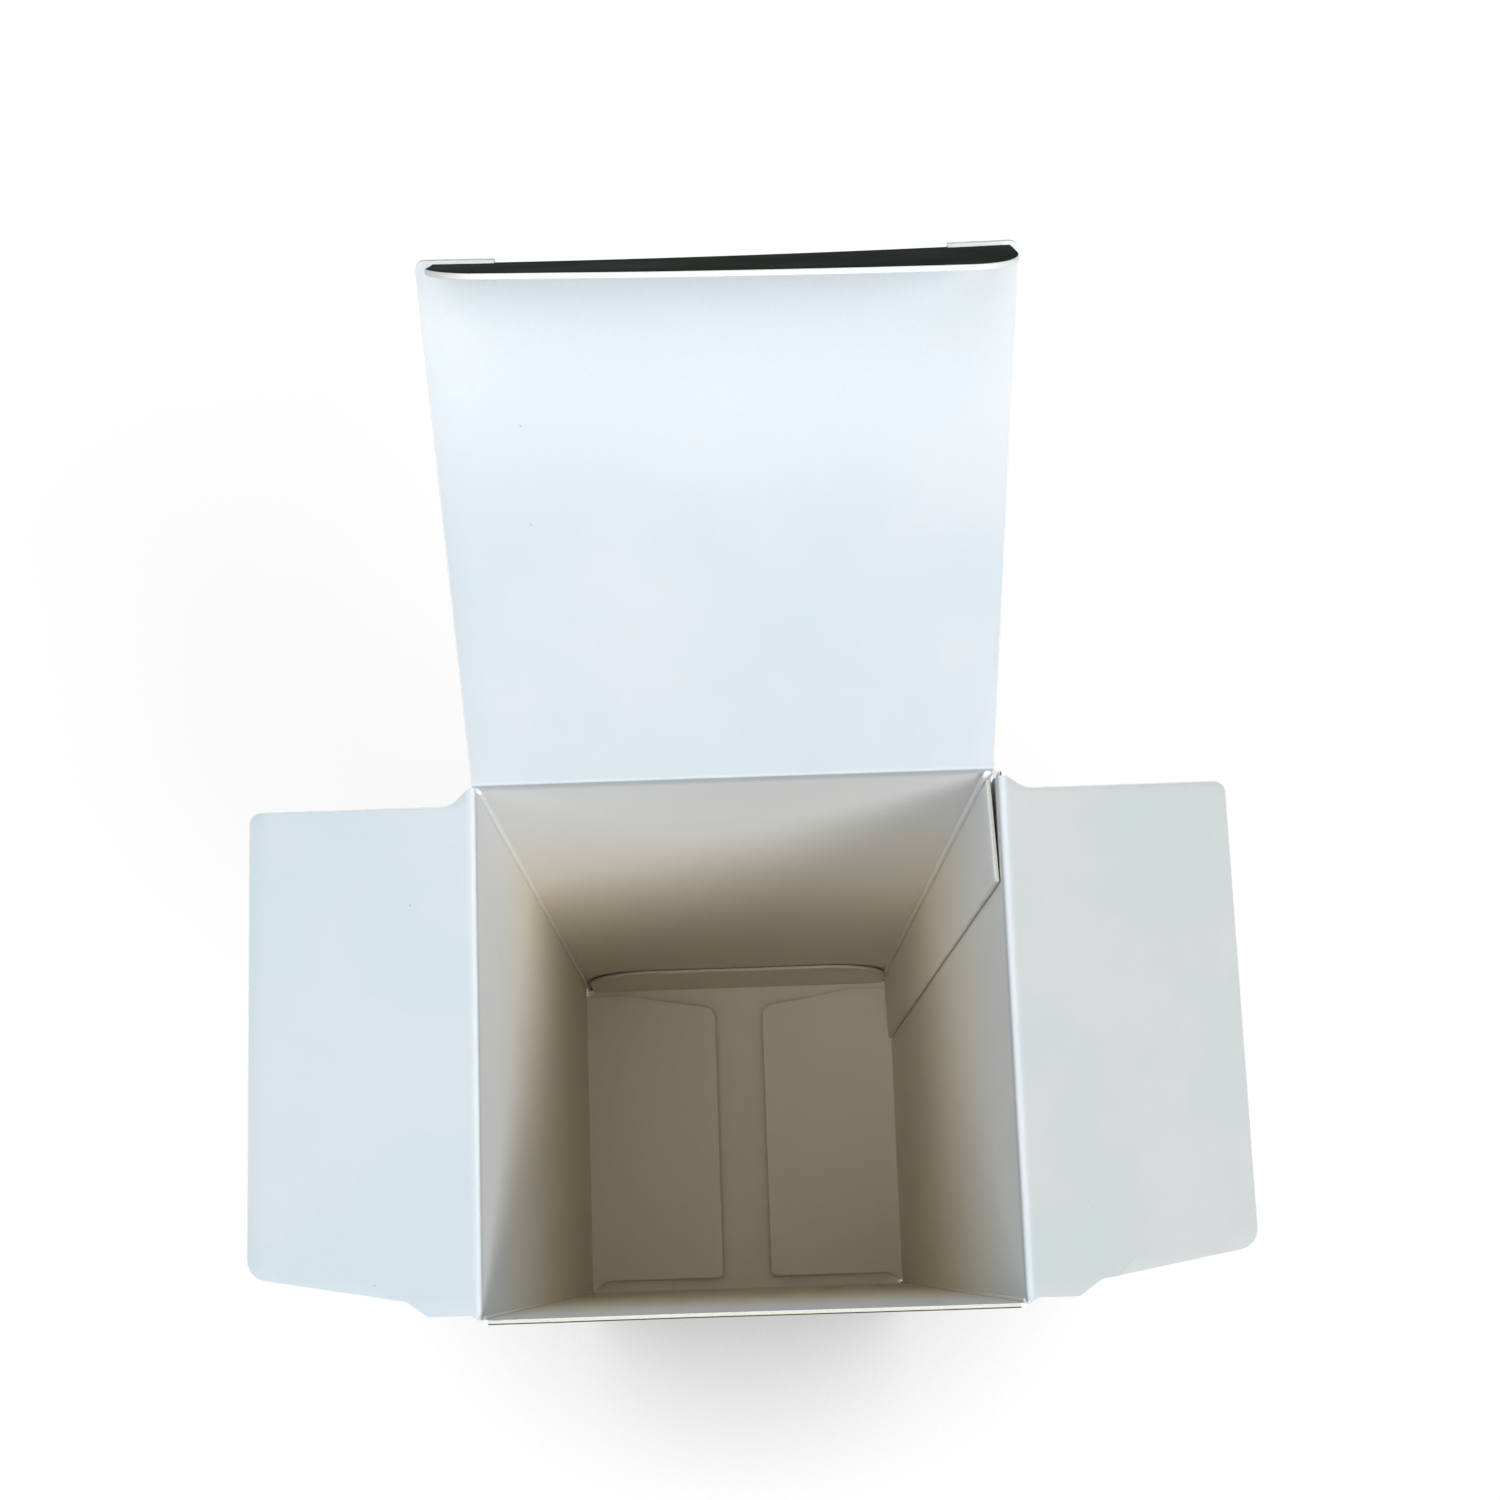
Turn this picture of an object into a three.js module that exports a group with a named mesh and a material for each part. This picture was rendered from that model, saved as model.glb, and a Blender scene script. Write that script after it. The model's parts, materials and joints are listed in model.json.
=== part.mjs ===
// Reverse tuck folding carton for one small cosmetic bottle, standing upright with its top open.
// Millimetres. +X is the carton's right, +Y its back and +Z up. The origin is the centre of the
// base, on the underside of the bottom panel.
// The carton is one scored blank. Each panel between two scores is a flat plate. The four scores
// up the tube's corners are strips of board bent round the corner, and the scores of the flaps
// are slim round beads on the lines that the flaps turn about.
import * as THREE from 'three';

const DEGREE = Math.PI / 180;
const QUARTER_TURN = Math.PI / 2;

// Driving dimensions of the whole carton
const WIDTH = 50; // outside, across the front wall
const DEPTH = 50; // outside, from front wall to back wall
const HEIGHT = 150; // closed, from the base to the lid's face
const BOARD = 0.45; // thickness of the paperboard
const CREASE_GAP = 0.4; // from a score's bead to the panel beside it
const FOLD_RADIUS = 0.7; // outside, where the board bends round a corner of the tube
const LEVEL_STEP = 0.7; // the dust flaps' scores lie this much inside the closure panels' scores

// Lid and bottom panels with their tuck flaps
const LID_RELIEF = 0.2; // the closure panels are this much narrower on each side
const LID_CORNER_RADIUS = 0.8;
const LID_CORNER_LIP = 0.5; // how far the lid's corners reach past the tuck score
const TUCK_CLEARANCE = 0.5; // from a closed tuck flap to the wall it slides along
const TUCK_HEIGHT = 18;
const TUCK_SIDE_INSET = 1.6; // from the outside of the side walls to a tuck flap's end
const TUCK_CORNER_RADIUS = 10;
const SLIT_LENGTH = 6.5; // from the lid's left edge to the inner end of its slit
const SLIT_DROP = 1.35; // from the tuck score down to the tuck flap's end

// Dust flaps
const DUST_SPACING = 7.55; // between the two dust flaps of one end when both are closed
const DUST_SHOULDER_GAP = 0.3; // from the locking shoulder to the front wall's inner face
const DUST_SHOULDER_LENGTH = 4.6;
const DUST_STEP_DEPTH = 1.45; // the flap steps in this much behind its shoulder
const DUST_STEP_RUN = 2;
const DUST_TAPER = 10 * DEGREE;
const DUST_BACK_INSET = 2.2; // from the outside of the far wall to the flap's straight edge
const DUST_HINGE_INSET = 0.7; // the same at the left flaps' scores
const DUST_CHAMFER_RUN = 2.2;
const DUST_INNER_RADIUS = 1.1;
const DUST_OUTER_RADIUS = 2;

// Glued seam at the back right corner
const SEAM_SETBACK = 1; // the right wall's raw edge stops this short of the back face
const SEAM_GAP = 0.4; // the glue flap stands off the right wall by this at its corner
const GLUE_FLAP_WIDTH = 10; // from its bent corner to its free edge
const GLUE_FLAP_SETBACK = 2.1; // above and below the glue flap, measured from the dust flaps' scores
const ADHESIVE = 0.1; // thickness of the glue at the flap's free edge
const ADHESIVE_WIDTH = 5;
const ADHESIVE_INSET = 0.6; // from the flap's free edge to the glue
const ADHESIVE_END = 4; // from the flap's ends to the glue
const SLANT_CLEARANCE = 0.03; // between the glue and the slanting flap

// How the carton stands in the photograph
const LID_TILT = 43.6 * DEGREE; // the lid's slope above the horizontal, leaning back
const LID_TUCK_FOLD = 76.2 * DEGREE; // from flat, towards the lid's inside
const BOTTOM_TUCK_FOLD = 92 * DEGREE;

// Counts of straight steps in a round
const ARC_STEPS = 10;
const BEAD_SIDES = 16;

// Values worked out from the ones above
const halfBoard = BOARD / 2;
const beadRadius = halfBoard;
const panelStart = beadRadius + CREASE_GAP; // from a score to its panels' edges
const sideMiddle = WIDTH / 2 - halfBoard; // middle of the side walls' board
const frontMiddle = -DEPTH / 2 + halfBoard;
const backMiddle = DEPTH / 2 - halfBoard;
const lidLevel = HEIGHT - halfBoard;
const bottomLevel = halfBoard;
const topDustLevel = lidLevel - LEVEL_STEP;
const bottomDustLevel = bottomLevel + LEVEL_STEP;
const closureHalfWidth = WIDTH / 2 - LID_RELIEF;
const closureLength = DEPTH - 2 * BOARD - TUCK_CLEARANCE; // from hinge score to tuck score
const tuckHalfWidth = WIDTH / 2 - TUCK_SIDE_INSET;
const slitInner = closureHalfWidth - SLIT_LENGTH;
const shoulderEdge = DEPTH / 2 - BOARD - DUST_SHOULDER_GAP;
const steppedEdge = shoulderEdge - DUST_STEP_DEPTH;
const straightEdge = DEPTH / 2 - DUST_BACK_INSET;
const leftHingeEdge = DEPTH / 2 - DUST_HINGE_INSET;
const rightHingeEdge = DEPTH / 2 - SEAM_SETBACK; // the right flaps end with the wall they hang on
const dustLength = sideMiddle - DUST_SPACING / 2;
const wideEnd = WIDTH / 2 - FOLD_RADIUS; // where the flat of the front wall ends
const deepEnd = DEPTH / 2 - FOLD_RADIUS; // where the flat of the left wall ends
const rightFace = WIDTH / 2 - BOARD; // inner face of the right wall
const seamEnd = rightFace - SEAM_GAP - FOLD_RADIUS; // where the flat of the back wall ends
const lidRight = seamEnd + FOLD_RADIUS; // the lid is no wider than the back wall it hangs on
const glueBottom = bottomDustLevel + GLUE_FLAP_SETBACK;
const glueTop = topDustLevel - GLUE_FLAP_SETBACK;

const board = new THREE.MeshStandardMaterial({ color: 0xe2e9f0, roughness: 0.7, metalness: 0 });
const scoredBoard = new THREE.MeshStandardMaterial({ color: 0xd3dae0, roughness: 0.8, metalness: 0 });
const adhesive = new THREE.MeshStandardMaterial({ color: 0xe8e0c4, roughness: 0.4, metalness: 0 });

// A closed outline from corners [x, y, radius], where a radius turns the corner into an arc
function roundedOutline(corners) {
  const outline = new THREE.Shape();
  const points = corners.map(([x, y]) => new THREE.Vector2(x, y));
  points.forEach((corner, i) => {
    const radius = corners[i][2] ?? 0;
    const before = points[(i + points.length - 1) % points.length].clone().sub(corner).normalize();
    const after = points[(i + 1) % points.length].clone().sub(corner).normalize();
    const halfAngle = Math.acos(before.dot(after)) / 2;
    const start = corner.clone().addScaledVector(before, radius / Math.tan(halfAngle));
    if (i === 0) outline.moveTo(start.x, start.y);
    else outline.lineTo(start.x, start.y);
    if (radius === 0) return;
    const end = corner.clone().addScaledVector(after, radius / Math.tan(halfAngle));
    const inward = before.clone().add(after).normalize();
    const centre = corner.clone().addScaledVector(inward, radius / Math.sin(halfAngle));
    const turnsRight = before.cross(after) > 0;
    start.sub(centre);
    end.sub(centre);
    outline.absarc(centre.x, centre.y, radius, start.angle(), end.angle(), turnsRight);
  });
  return outline;
}

// The same outline with left and right swapped
function mirrored(corners) {
  return corners.map(([x, y, radius]) => [-x, y, radius]).reverse();
}

// A flat piece of board: outline in X and Y, its middle layer at Z = 0
function plate(name, corners) {
  const geometry = new THREE.ExtrudeGeometry(roundedOutline(corners), {
    depth: BOARD,
    bevelEnabled: false,
    curveSegments: ARC_STEPS,
  });
  geometry.translate(0, 0, -halfBoard);
  const mesh = new THREE.Mesh(geometry, board);
  mesh.name = name;
  return mesh;
}

// A score's bead along X, from one end to the other
function crease(name, fromX, toX) {
  const geometry = new THREE.CylinderGeometry(beadRadius, beadRadius, toX - fromX, BEAD_SIDES);
  geometry.rotateZ(QUARTER_TURN);
  geometry.translate((fromX + toX) / 2, 0, 0);
  const mesh = new THREE.Mesh(geometry, scoredBoard);
  mesh.name = name;
  return mesh;
}

// A frame on a score: X runs along the score, Y out along the panel, and Z is square to the board
function scoreFrame(position, rotation, ...members) {
  const frame = new THREE.Group();
  frame.position.set(...position);
  frame.rotation.set(...rotation);
  frame.add(...members);
  return frame;
}

// Outline of a panel with four square corners, from one score's edge to another edge
function rectangle(left, right, near, far) {
  return [[left, near], [right, near], [right, far], [left, far]];
}

// An upright wall, drawn with X along the wall and Y as the height
function wall(name, left, right, low, high, position, turn) {
  const standing = new THREE.Group();
  standing.add(plate(name, rectangle(left, right, low, high)));
  standing.rotation.x = QUARTER_TURN;
  const placed = new THREE.Group();
  placed.add(standing);
  placed.position.set(...position);
  placed.rotation.z = turn;
  return placed;
}

// Extrudes a plan outline upwards between two heights
function upright(name, outline, low, high, material) {
  const geometry = new THREE.ExtrudeGeometry(outline, {
    depth: high - low,
    bevelEnabled: false,
    curveSegments: ARC_STEPS,
  });
  geometry.translate(0, 0, low);
  const mesh = new THREE.Mesh(geometry, material);
  mesh.name = name;
  return mesh;
}

// Board bent round a corner of the tube: a slice of a ring about the bend's centre
function bentCorner(name, x, y, from, to, low, high) {
  const outline = new THREE.Shape();
  outline.absarc(x, y, FOLD_RADIUS, from, to, false);
  outline.absarc(x, y, FOLD_RADIUS - BOARD, to, from, true);
  outline.closePath();
  return upright(name, outline, low, high, scoredBoard);
}

// The four walls and the three bent corners that they share
function tubeWalls() {
  const sideLow = bottomDustLevel + panelStart;
  const sideHigh = topDustLevel - panelStart;
  return [
    wall('front_wall', -wideEnd, wideEnd, bottomLevel + panelStart, HEIGHT, [0, frontMiddle, 0], 0),
    wall('back_wall', -wideEnd, seamEnd, 0, lidLevel - panelStart, [0, backMiddle, 0], 0),
    wall('left_wall', -deepEnd, deepEnd, sideLow, sideHigh, [-sideMiddle, 0, 0], QUARTER_TURN),
    wall('right_wall', -deepEnd, rightHingeEdge, sideLow, sideHigh, [sideMiddle, 0, 0], QUARTER_TURN),
    bentCorner('front_left_crease', -wideEnd, -deepEnd, Math.PI, 3 * QUARTER_TURN, sideLow, sideHigh),
    bentCorner('front_right_crease', wideEnd, -deepEnd, -QUARTER_TURN, 0, sideLow, sideHigh),
    bentCorner('back_left_crease', -wideEnd, deepEnd, QUARTER_TURN, Math.PI, sideLow, sideHigh),
  ];
}

// The glue flap bends off the back wall and slants outwards until its free edge is glued to the
// right wall. The glue fills the front of the wedge between the two.
function gluedSeam() {
  const reach = rightFace - ADHESIVE - seamEnd; // sideways, from the bend's centre to the free edge
  const diagonal = Math.hypot(GLUE_FLAP_WIDTH, FOLD_RADIUS);
  const slant = Math.atan2(GLUE_FLAP_WIDTH, FOLD_RADIUS) - Math.acos(reach / diagonal);
  const outward = new THREE.Vector2(Math.cos(slant), Math.sin(slant));
  const along = new THREE.Vector2(Math.sin(slant), -Math.cos(slant));
  const at = (run, offset) => new THREE.Vector2(seamEnd, deepEnd)
    .addScaledVector(along, run).addScaledVector(outward, offset);
  const inner = FOLD_RADIUS - BOARD;
  const flap = new THREE.Shape([
    at(0, inner),
    at(GLUE_FLAP_WIDTH, inner),
    at(GLUE_FLAP_WIDTH, FOLD_RADIUS),
    at(0, FOLD_RADIUS),
  ]);
  const glueFar = at(GLUE_FLAP_WIDTH - ADHESIVE_INSET, FOLD_RADIUS + SLANT_CLEARANCE);
  const glueNear = at(GLUE_FLAP_WIDTH - ADHESIVE_INSET - ADHESIVE_WIDTH, FOLD_RADIUS + SLANT_CLEARANCE);
  const glue = new THREE.Shape([
    glueFar,
    new THREE.Vector2(rightFace, glueFar.y),
    new THREE.Vector2(rightFace, glueNear.y),
    glueNear,
  ]);
  return [
    bentCorner('glue_flap_crease', seamEnd, deepEnd, slant, QUARTER_TURN, glueBottom, glueTop),
    upright('glue_flap', flap, glueBottom, glueTop, board),
    upright('glue_seam', glue, glueBottom + ADHESIVE_END, glueTop - ADHESIVE_END, adhesive),
  ];
}

// Closure panel of the lid, whose far corners stand past the tuck score as one lip of the slits
function lidPanelOutline() {
  const far = closureLength - panelStart;
  const lip = closureLength + LID_CORNER_LIP;
  return [
    [-closureHalfWidth, panelStart],
    [lidRight, panelStart],
    [lidRight, lip, LID_CORNER_RADIUS],
    [slitInner, lip],
    [slitInner, far],
    [-slitInner, far],
    [-slitInner, lip],
    [-closureHalfWidth, lip, LID_CORNER_RADIUS],
  ];
}

// Tuck flap of the lid, cut low at both ends as the other lip of the slits
function lidTuckOutline() {
  return [
    [-slitInner, panelStart],
    [slitInner, panelStart],
    [slitInner, SLIT_DROP],
    [tuckHalfWidth, SLIT_DROP],
    [tuckHalfWidth, TUCK_HEIGHT, TUCK_CORNER_RADIUS],
    [-tuckHalfWidth, TUCK_HEIGHT, TUCK_CORNER_RADIUS],
    [-tuckHalfWidth, SLIT_DROP],
    [-slitInner, SLIT_DROP],
  ];
}

function bottomTuckOutline() {
  return [
    [-tuckHalfWidth, panelStart],
    [tuckHalfWidth, panelStart],
    [tuckHalfWidth, TUCK_HEIGHT, TUCK_CORNER_RADIUS],
    [-tuckHalfWidth, TUCK_HEIGHT, TUCK_CORNER_RADIUS],
  ];
}

// Dust flap with its tuck side at -X: locking shoulder or plain edge, step, taper, rounded corners
function dustOutline(hingeEdge, hasShoulder) {
  const stepEnd = DUST_SHOULDER_LENGTH + DUST_STEP_RUN;
  const taperEdge = steppedEdge - (dustLength - stepEnd) * Math.tan(DUST_TAPER);
  const tuckSide = hasShoulder
    ? [[-steppedEdge, stepEnd], [-shoulderEdge, DUST_SHOULDER_LENGTH], [-shoulderEdge, panelStart]]
    : [[-steppedEdge, stepEnd], [-steppedEdge, panelStart]];
  return [
    [hingeEdge, panelStart],
    [straightEdge, DUST_CHAMFER_RUN],
    [straightEdge, dustLength, DUST_INNER_RADIUS],
    [-taperEdge, dustLength, DUST_OUTER_RADIUS],
    ...tuckSide,
  ];
}

// The lid leans back from the back wall, and its tuck flap is folded towards the lid's inside
function lid() {
  const tuck = scoreFrame([0, closureLength, 0], [LID_TUCK_FOLD, 0, 0],
    plate('lid_tuck_flap', lidTuckOutline()));
  return [
    scoreFrame([0, backMiddle, lidLevel], [0, 0, 0],
      crease('lid_crease', -wideEnd, lidRight)),
    scoreFrame([0, backMiddle, lidLevel], [LID_TILT, 0, 0],
      plate('lid_panel', lidPanelOutline()),
      scoreFrame([0, closureLength, 0], [0, 0, 0], crease('lid_tuck_crease', -slitInner, slitInner)),
      tuck),
  ];
}

// The bottom panel closes from the front wall, and its tuck flap stands against the back wall
function bottomClosure() {
  const hinge = [0, frontMiddle, bottomLevel];
  const far = closureLength - panelStart;
  return [
    scoreFrame(hinge, [0, 0, 0],
      crease('bottom_crease', -wideEnd, wideEnd),
      plate('bottom_panel', rectangle(-closureHalfWidth, closureHalfWidth, panelStart, far)),
      scoreFrame([0, closureLength, 0], [0, 0, 0],
        crease('bottom_tuck_crease', -tuckHalfWidth, tuckHalfWidth)),
      scoreFrame([0, closureLength, 0], [BOTTOM_TUCK_FOLD, 0, 0],
        plate('bottom_tuck_flap', bottomTuckOutline()))),
  ];
}

// A dust flap and its score. The frame's X axis points forwards on one side and back on the other
function dustFlap(name, creaseName, x, level, turn, tuckAtMinusX, hasShoulder) {
  const hingeEdge = x < 0 ? leftHingeEdge : rightHingeEdge;
  const corners = dustOutline(hingeEdge, hasShoulder);
  const tuckEnd = hasShoulder ? shoulderEdge : steppedEdge;
  const [from, to] = tuckAtMinusX ? [-tuckEnd, hingeEdge] : [-hingeEdge, tuckEnd];
  return scoreFrame([x, 0, level], [0, 0, turn],
    crease(creaseName, from, to),
    plate(name, tuckAtMinusX ? corners : mirrored(corners)));
}

function dustFlaps() {
  return [
    dustFlap('left_dust_flap', 'left_dust_crease',
      -sideMiddle, topDustLevel, QUARTER_TURN, true, true),
    dustFlap('right_dust_flap', 'right_dust_crease',
      sideMiddle, topDustLevel, -QUARTER_TURN, false, true),
    dustFlap('bottom_left_dust_flap', 'bottom_left_dust_crease',
      -sideMiddle, bottomDustLevel, -QUARTER_TURN, true, false),
    dustFlap('bottom_right_dust_flap', 'bottom_right_dust_crease',
      sideMiddle, bottomDustLevel, QUARTER_TURN, false, false),
  ];
}

const carton = new THREE.Group();
carton.add(...tubeWalls(), ...gluedSeam(), ...lid(), ...bottomClosure(), ...dustFlaps());

export default carton;
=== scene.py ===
"""Looks of an upright folding carton, its lid and dust flaps standing open.

Every panel is cut from a flat sheet in the plane of its own score, given the board's thickness,
and laid where the construction has it. The folds between panels are strips of the same board,
bent between them. Sizes in the classes are millimetres, and MM turns them into metres.
"""
import json
import logging
import math
import random
from collections.abc import Callable, Sequence
from dataclasses import dataclass, field
from enum import Enum

import bmesh
import bpy
from mathutils import Matrix, Vector


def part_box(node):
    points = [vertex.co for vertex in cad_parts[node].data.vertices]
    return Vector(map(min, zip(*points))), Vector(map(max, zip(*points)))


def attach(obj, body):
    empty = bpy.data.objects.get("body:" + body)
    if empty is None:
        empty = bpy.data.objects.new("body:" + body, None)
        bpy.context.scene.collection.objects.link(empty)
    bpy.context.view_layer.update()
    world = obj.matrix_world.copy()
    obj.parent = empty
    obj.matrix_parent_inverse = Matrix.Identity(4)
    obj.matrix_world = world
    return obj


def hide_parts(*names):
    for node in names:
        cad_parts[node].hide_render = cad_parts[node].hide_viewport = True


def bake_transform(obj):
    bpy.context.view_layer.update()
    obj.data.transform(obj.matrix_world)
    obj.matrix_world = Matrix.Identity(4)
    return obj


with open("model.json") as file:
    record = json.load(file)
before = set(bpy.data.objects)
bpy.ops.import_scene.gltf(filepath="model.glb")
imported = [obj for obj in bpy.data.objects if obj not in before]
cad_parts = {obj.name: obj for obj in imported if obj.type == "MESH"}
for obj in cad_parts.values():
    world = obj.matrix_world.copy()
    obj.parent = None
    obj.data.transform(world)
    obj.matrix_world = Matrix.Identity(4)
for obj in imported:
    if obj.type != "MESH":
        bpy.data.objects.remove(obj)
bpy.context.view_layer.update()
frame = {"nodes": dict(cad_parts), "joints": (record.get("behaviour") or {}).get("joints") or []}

log = logging.getLogger("carton")

Piece = bpy.types.Object
Socket = bpy.types.NodeSocket
Pair = tuple[float, float]
Triple = tuple[float, float, float]

MM = 0.001
TINY = 1e-6
RIGHT = Vector((1, 0, 0))
BACK = Vector((0, 1, 0))
UP = Vector((0, 0, 1))
PLACE = "board_place"
PLY = "board_ply"
# How much each score shows: rubbed print on the outer side, and a painted highlight on the white side.
WEAR_AND_HIGHLIGHT = "score_wear_and_highlight"
CUT_WELD = 1e-7
ARC_SEGMENTS = 10
MIX_INPUTS = (0, 6, 7)
SMOOTH_ANGLE = math.radians(32)
SEED = 7


class Pick(Enum):
    """What a selection is made of."""

    VERTS = "VERT"
    FACES = "FACE"


class Side(Enum):
    """The four sides of a panel in its own axes."""

    NEAR = "near"
    FAR = "far"
    LEFT = "left"
    RIGHT = "right"


class Layer(Enum):
    """Material slots of a piece of board."""

    INNER = 0
    PRINT = 1
    EDGE = 2


def mm(value: float) -> float:
    """Millimetres as metres."""
    return value * MM


def smooth(share: float) -> float:
    """A share from 0 to 1, eased at both ends."""
    share = min(1.0, max(0.0, share))
    return share * share * (3 - 2 * share)


def axes(origin: Vector, outward: Vector, inner: Vector) -> Matrix:
    """A panel's place: Y runs out along the panel and Z towards its white side.

    Args:
        origin: a point on the panel's score.
        outward: the direction from the score along the panel.
        inner: the direction that the white side faces.

    Returns:
        The matrix from the panel's own axes to the frame.
    """
    turned = Matrix((outward.cross(inner), outward, inner)).transposed().to_4x4()
    return Matrix.Translation(origin) @ turned


def node_extent(node: str, place: Matrix) -> tuple[Vector, Vector]:
    """The box of a construction node in a panel's own axes.

    Args:
        node: the node's name.
        place: the matrix from the panel's axes to the frame.

    Returns:
        The lowest and the highest corner.
    """
    back = place.inverted()
    points = [back @ v.co for v in frame["nodes"][node].data.vertices]
    low = Vector([min(p[i] for p in points) for i in range(3)])
    high = Vector([max(p[i] for p in points) for i in range(3)])
    return low, high


def joint_place(name: str) -> Vector:
    """A point on the axis of a joint."""
    found = next(j for j in frame["joints"] if j["name"] == name)
    return Vector(found["pos_m"])


class Bench:
    """The operator steps that each piece of board goes through."""

    @staticmethod
    def clear() -> None:
        """Leaves edit mode and deselects everything."""
        if bpy.context.object is not None and bpy.context.object.mode != "OBJECT":
            bpy.ops.object.mode_set(mode="OBJECT")
        bpy.ops.object.select_all(action="DESELECT")

    @staticmethod
    def take(piece: Piece) -> None:
        """Selects one piece alone, in object mode."""
        Bench.clear()
        piece.select_set(True)
        bpy.context.view_layer.objects.active = piece

    @staticmethod
    def edit(piece: Piece) -> None:
        """Opens one piece in edit mode."""
        Bench.take(piece)
        bpy.ops.object.mode_set(mode="EDIT")

    @staticmethod
    def grid(name: str, low: Vector, high: Vector, columns: int, rows: int) -> Piece:
        """Adds a flat sheet between two corners.

        Args:
            name: the piece's name.
            low: lowest corner in X and Y.
            high: highest corner in X and Y.
            columns: cells along X.
            rows: cells along Y.

        Returns:
            The new piece, in edit mode.
        """
        Bench.clear()
        bpy.ops.mesh.primitive_grid_add(x_subdivisions=columns, y_subdivisions=rows, size=1)
        piece = bpy.context.object
        piece.name = name
        piece.data.name = name
        size = high - low
        middle = (high + low) / 2
        Bench.edit(piece)
        bpy.ops.mesh.select_all(action="SELECT")
        bpy.ops.transform.resize(value=(size.x, size.y, 1), center_override=(0, 0, 0))
        bpy.ops.transform.translate(value=(middle.x, middle.y, 0))
        return piece

    @staticmethod
    def choose(piece: Piece, kind: Pick, wanted: Callable[[bmesh.types.BMesh], list]) -> int:
        """Selects vertices or faces in edit mode, and nothing else.

        Args:
            piece: the piece in edit mode.
            kind: vertices or faces.
            wanted: finds them in the opened mesh.

        Returns:
            How many were selected.
        """
        bpy.ops.mesh.select_mode(type=kind.value)
        bpy.ops.mesh.select_all(action="DESELECT")
        form = bmesh.from_edit_mesh(piece.data)
        form.verts.ensure_lookup_table()
        found = wanted(form)
        for element in found:
            element.select_set(True)
        form.select_flush_mode()
        bmesh.update_edit_mesh(piece.data)
        return len(found)

    @staticmethod
    def pick_verts(piece: Piece, test: Callable[[Vector], bool]) -> int:
        """Selects the vertices at the right place, and says how many there are."""
        return Bench.choose(piece, Pick.VERTS, lambda form: [v for v in form.verts if test(v.co)])

    @staticmethod
    def pick_faces(piece: Piece, test: Callable[[Vector], bool]) -> int:
        """Selects the faces with their middle at the right place, and says how many there are."""
        return Bench.choose(
            piece, Pick.FACES, lambda form: [f for f in form.faces if test(f.calc_center_median())]
        )

    @staticmethod
    def pick_numbers(piece: Piece, numbers: set[int]) -> None:
        """Selects the vertices with the given numbers."""
        Bench.choose(piece, Pick.VERTS, lambda form: [form.verts[n] for n in numbers])

    @staticmethod
    def cut(at: Vector, normal: Vector) -> None:
        """Cuts the selected faces along a plane, and keeps both sides."""
        bpy.ops.mesh.bisect(plane_co=at, plane_no=normal, use_fill=False, threshold=CUT_WELD)

    @staticmethod
    def cut_all(at: Vector, normal: Vector) -> None:
        """Cuts the whole piece along a plane, and keeps both sides."""
        bpy.ops.mesh.select_all(action="SELECT")
        Bench.cut(at, normal)

    @staticmethod
    def apply(piece: Piece, kind: str, **settings: object) -> None:
        """Adds a modifier to a piece in object mode, sets it up and applies it.

        Args:
            piece: the piece.
            kind: the modifier's type.
            settings: its values.
        """
        Bench.take(piece)
        modifier = piece.modifiers.new(kind.lower(), kind)
        for key, value in settings.items():
            setattr(modifier, key, value)
        bpy.ops.object.modifier_apply(modifier=modifier.name)

    @staticmethod
    def press(
        piece: Piece, height: float, weight: Callable[[Vector], float],
        place: Matrix | None = None, grain: float = 0.0,
    ) -> None:
        """Raises a flat piece along its own Z, by a height in millimetres times a weight.

        Args:
            piece: the piece, in its own axes.
            height: the rise where the weight is 1.
            weight: a share from 0 to 1 for each place.
            place: where the piece will lie, for unevenness that differs from piece to piece.
            grain: size of the unevenness in millimetres, or 0 for an even rise.
        """
        group = piece.vertex_groups.new(name="press")
        for vertex in piece.data.vertices:
            group.add([vertex.index], weight(vertex.co), "REPLACE")
        settings: dict[str, object] = {"mid_level": 0.0}
        if place is not None:
            clouds = bpy.data.textures.new("unevenness", "CLOUDS")
            clouds.noise_scale = mm(grain)
            clouds.noise_depth = 1
            settings = {"mid_level": 0.5, "texture": clouds, "texture_coords": "GLOBAL"}
            piece.matrix_world = place
        Bench.apply(
            piece, "DISPLACE", direction="Z", strength=mm(height), vertex_group="press", **settings
        )
        piece.matrix_world = Matrix.Identity(4)
        piece.vertex_groups.clear()

    @staticmethod
    def settle(piece: Piece, place: Matrix) -> None:
        """Lays a piece in its place and moves that place into its mesh.

        Args:
            piece: the piece, in its own axes.
            place: the matrix from those axes to the frame.
        """
        Bench.take(piece)
        piece.matrix_world = place
        bpy.ops.object.transform_apply(location=True, rotation=True, scale=True)
        bpy.ops.object.shade_smooth_by_angle(angle=SMOOTH_ANGLE)

    @staticmethod
    def note(piece: Piece, name: str, values: Sequence[float]) -> None:
        """Writes one number for each vertex of a piece, for its material to read."""
        layer = piece.data.attributes.new(name, "FLOAT", "POINT")
        layer.data.foreach_set("value", list(values))

    @staticmethod
    def note_ply(
        piece: Piece, board: float, even: float | None = None, shift: float = 0.0
    ) -> None:
        """Writes how deep in the board each vertex lies, from -1 at the print to 1 at the white side.

        Args:
            piece: the piece, in its own axes.
            board: the board's thickness.
            even: one depth for the whole cut, where the layers don't show apart.
            shift: moves all the layers, as where the blade dragged the print over the edge.
        """
        plies = [
            v.co.z / board * 2 + shift if even is None else even for v in piece.data.vertices
        ]
        Bench.note(piece, PLY, plies)

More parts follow.
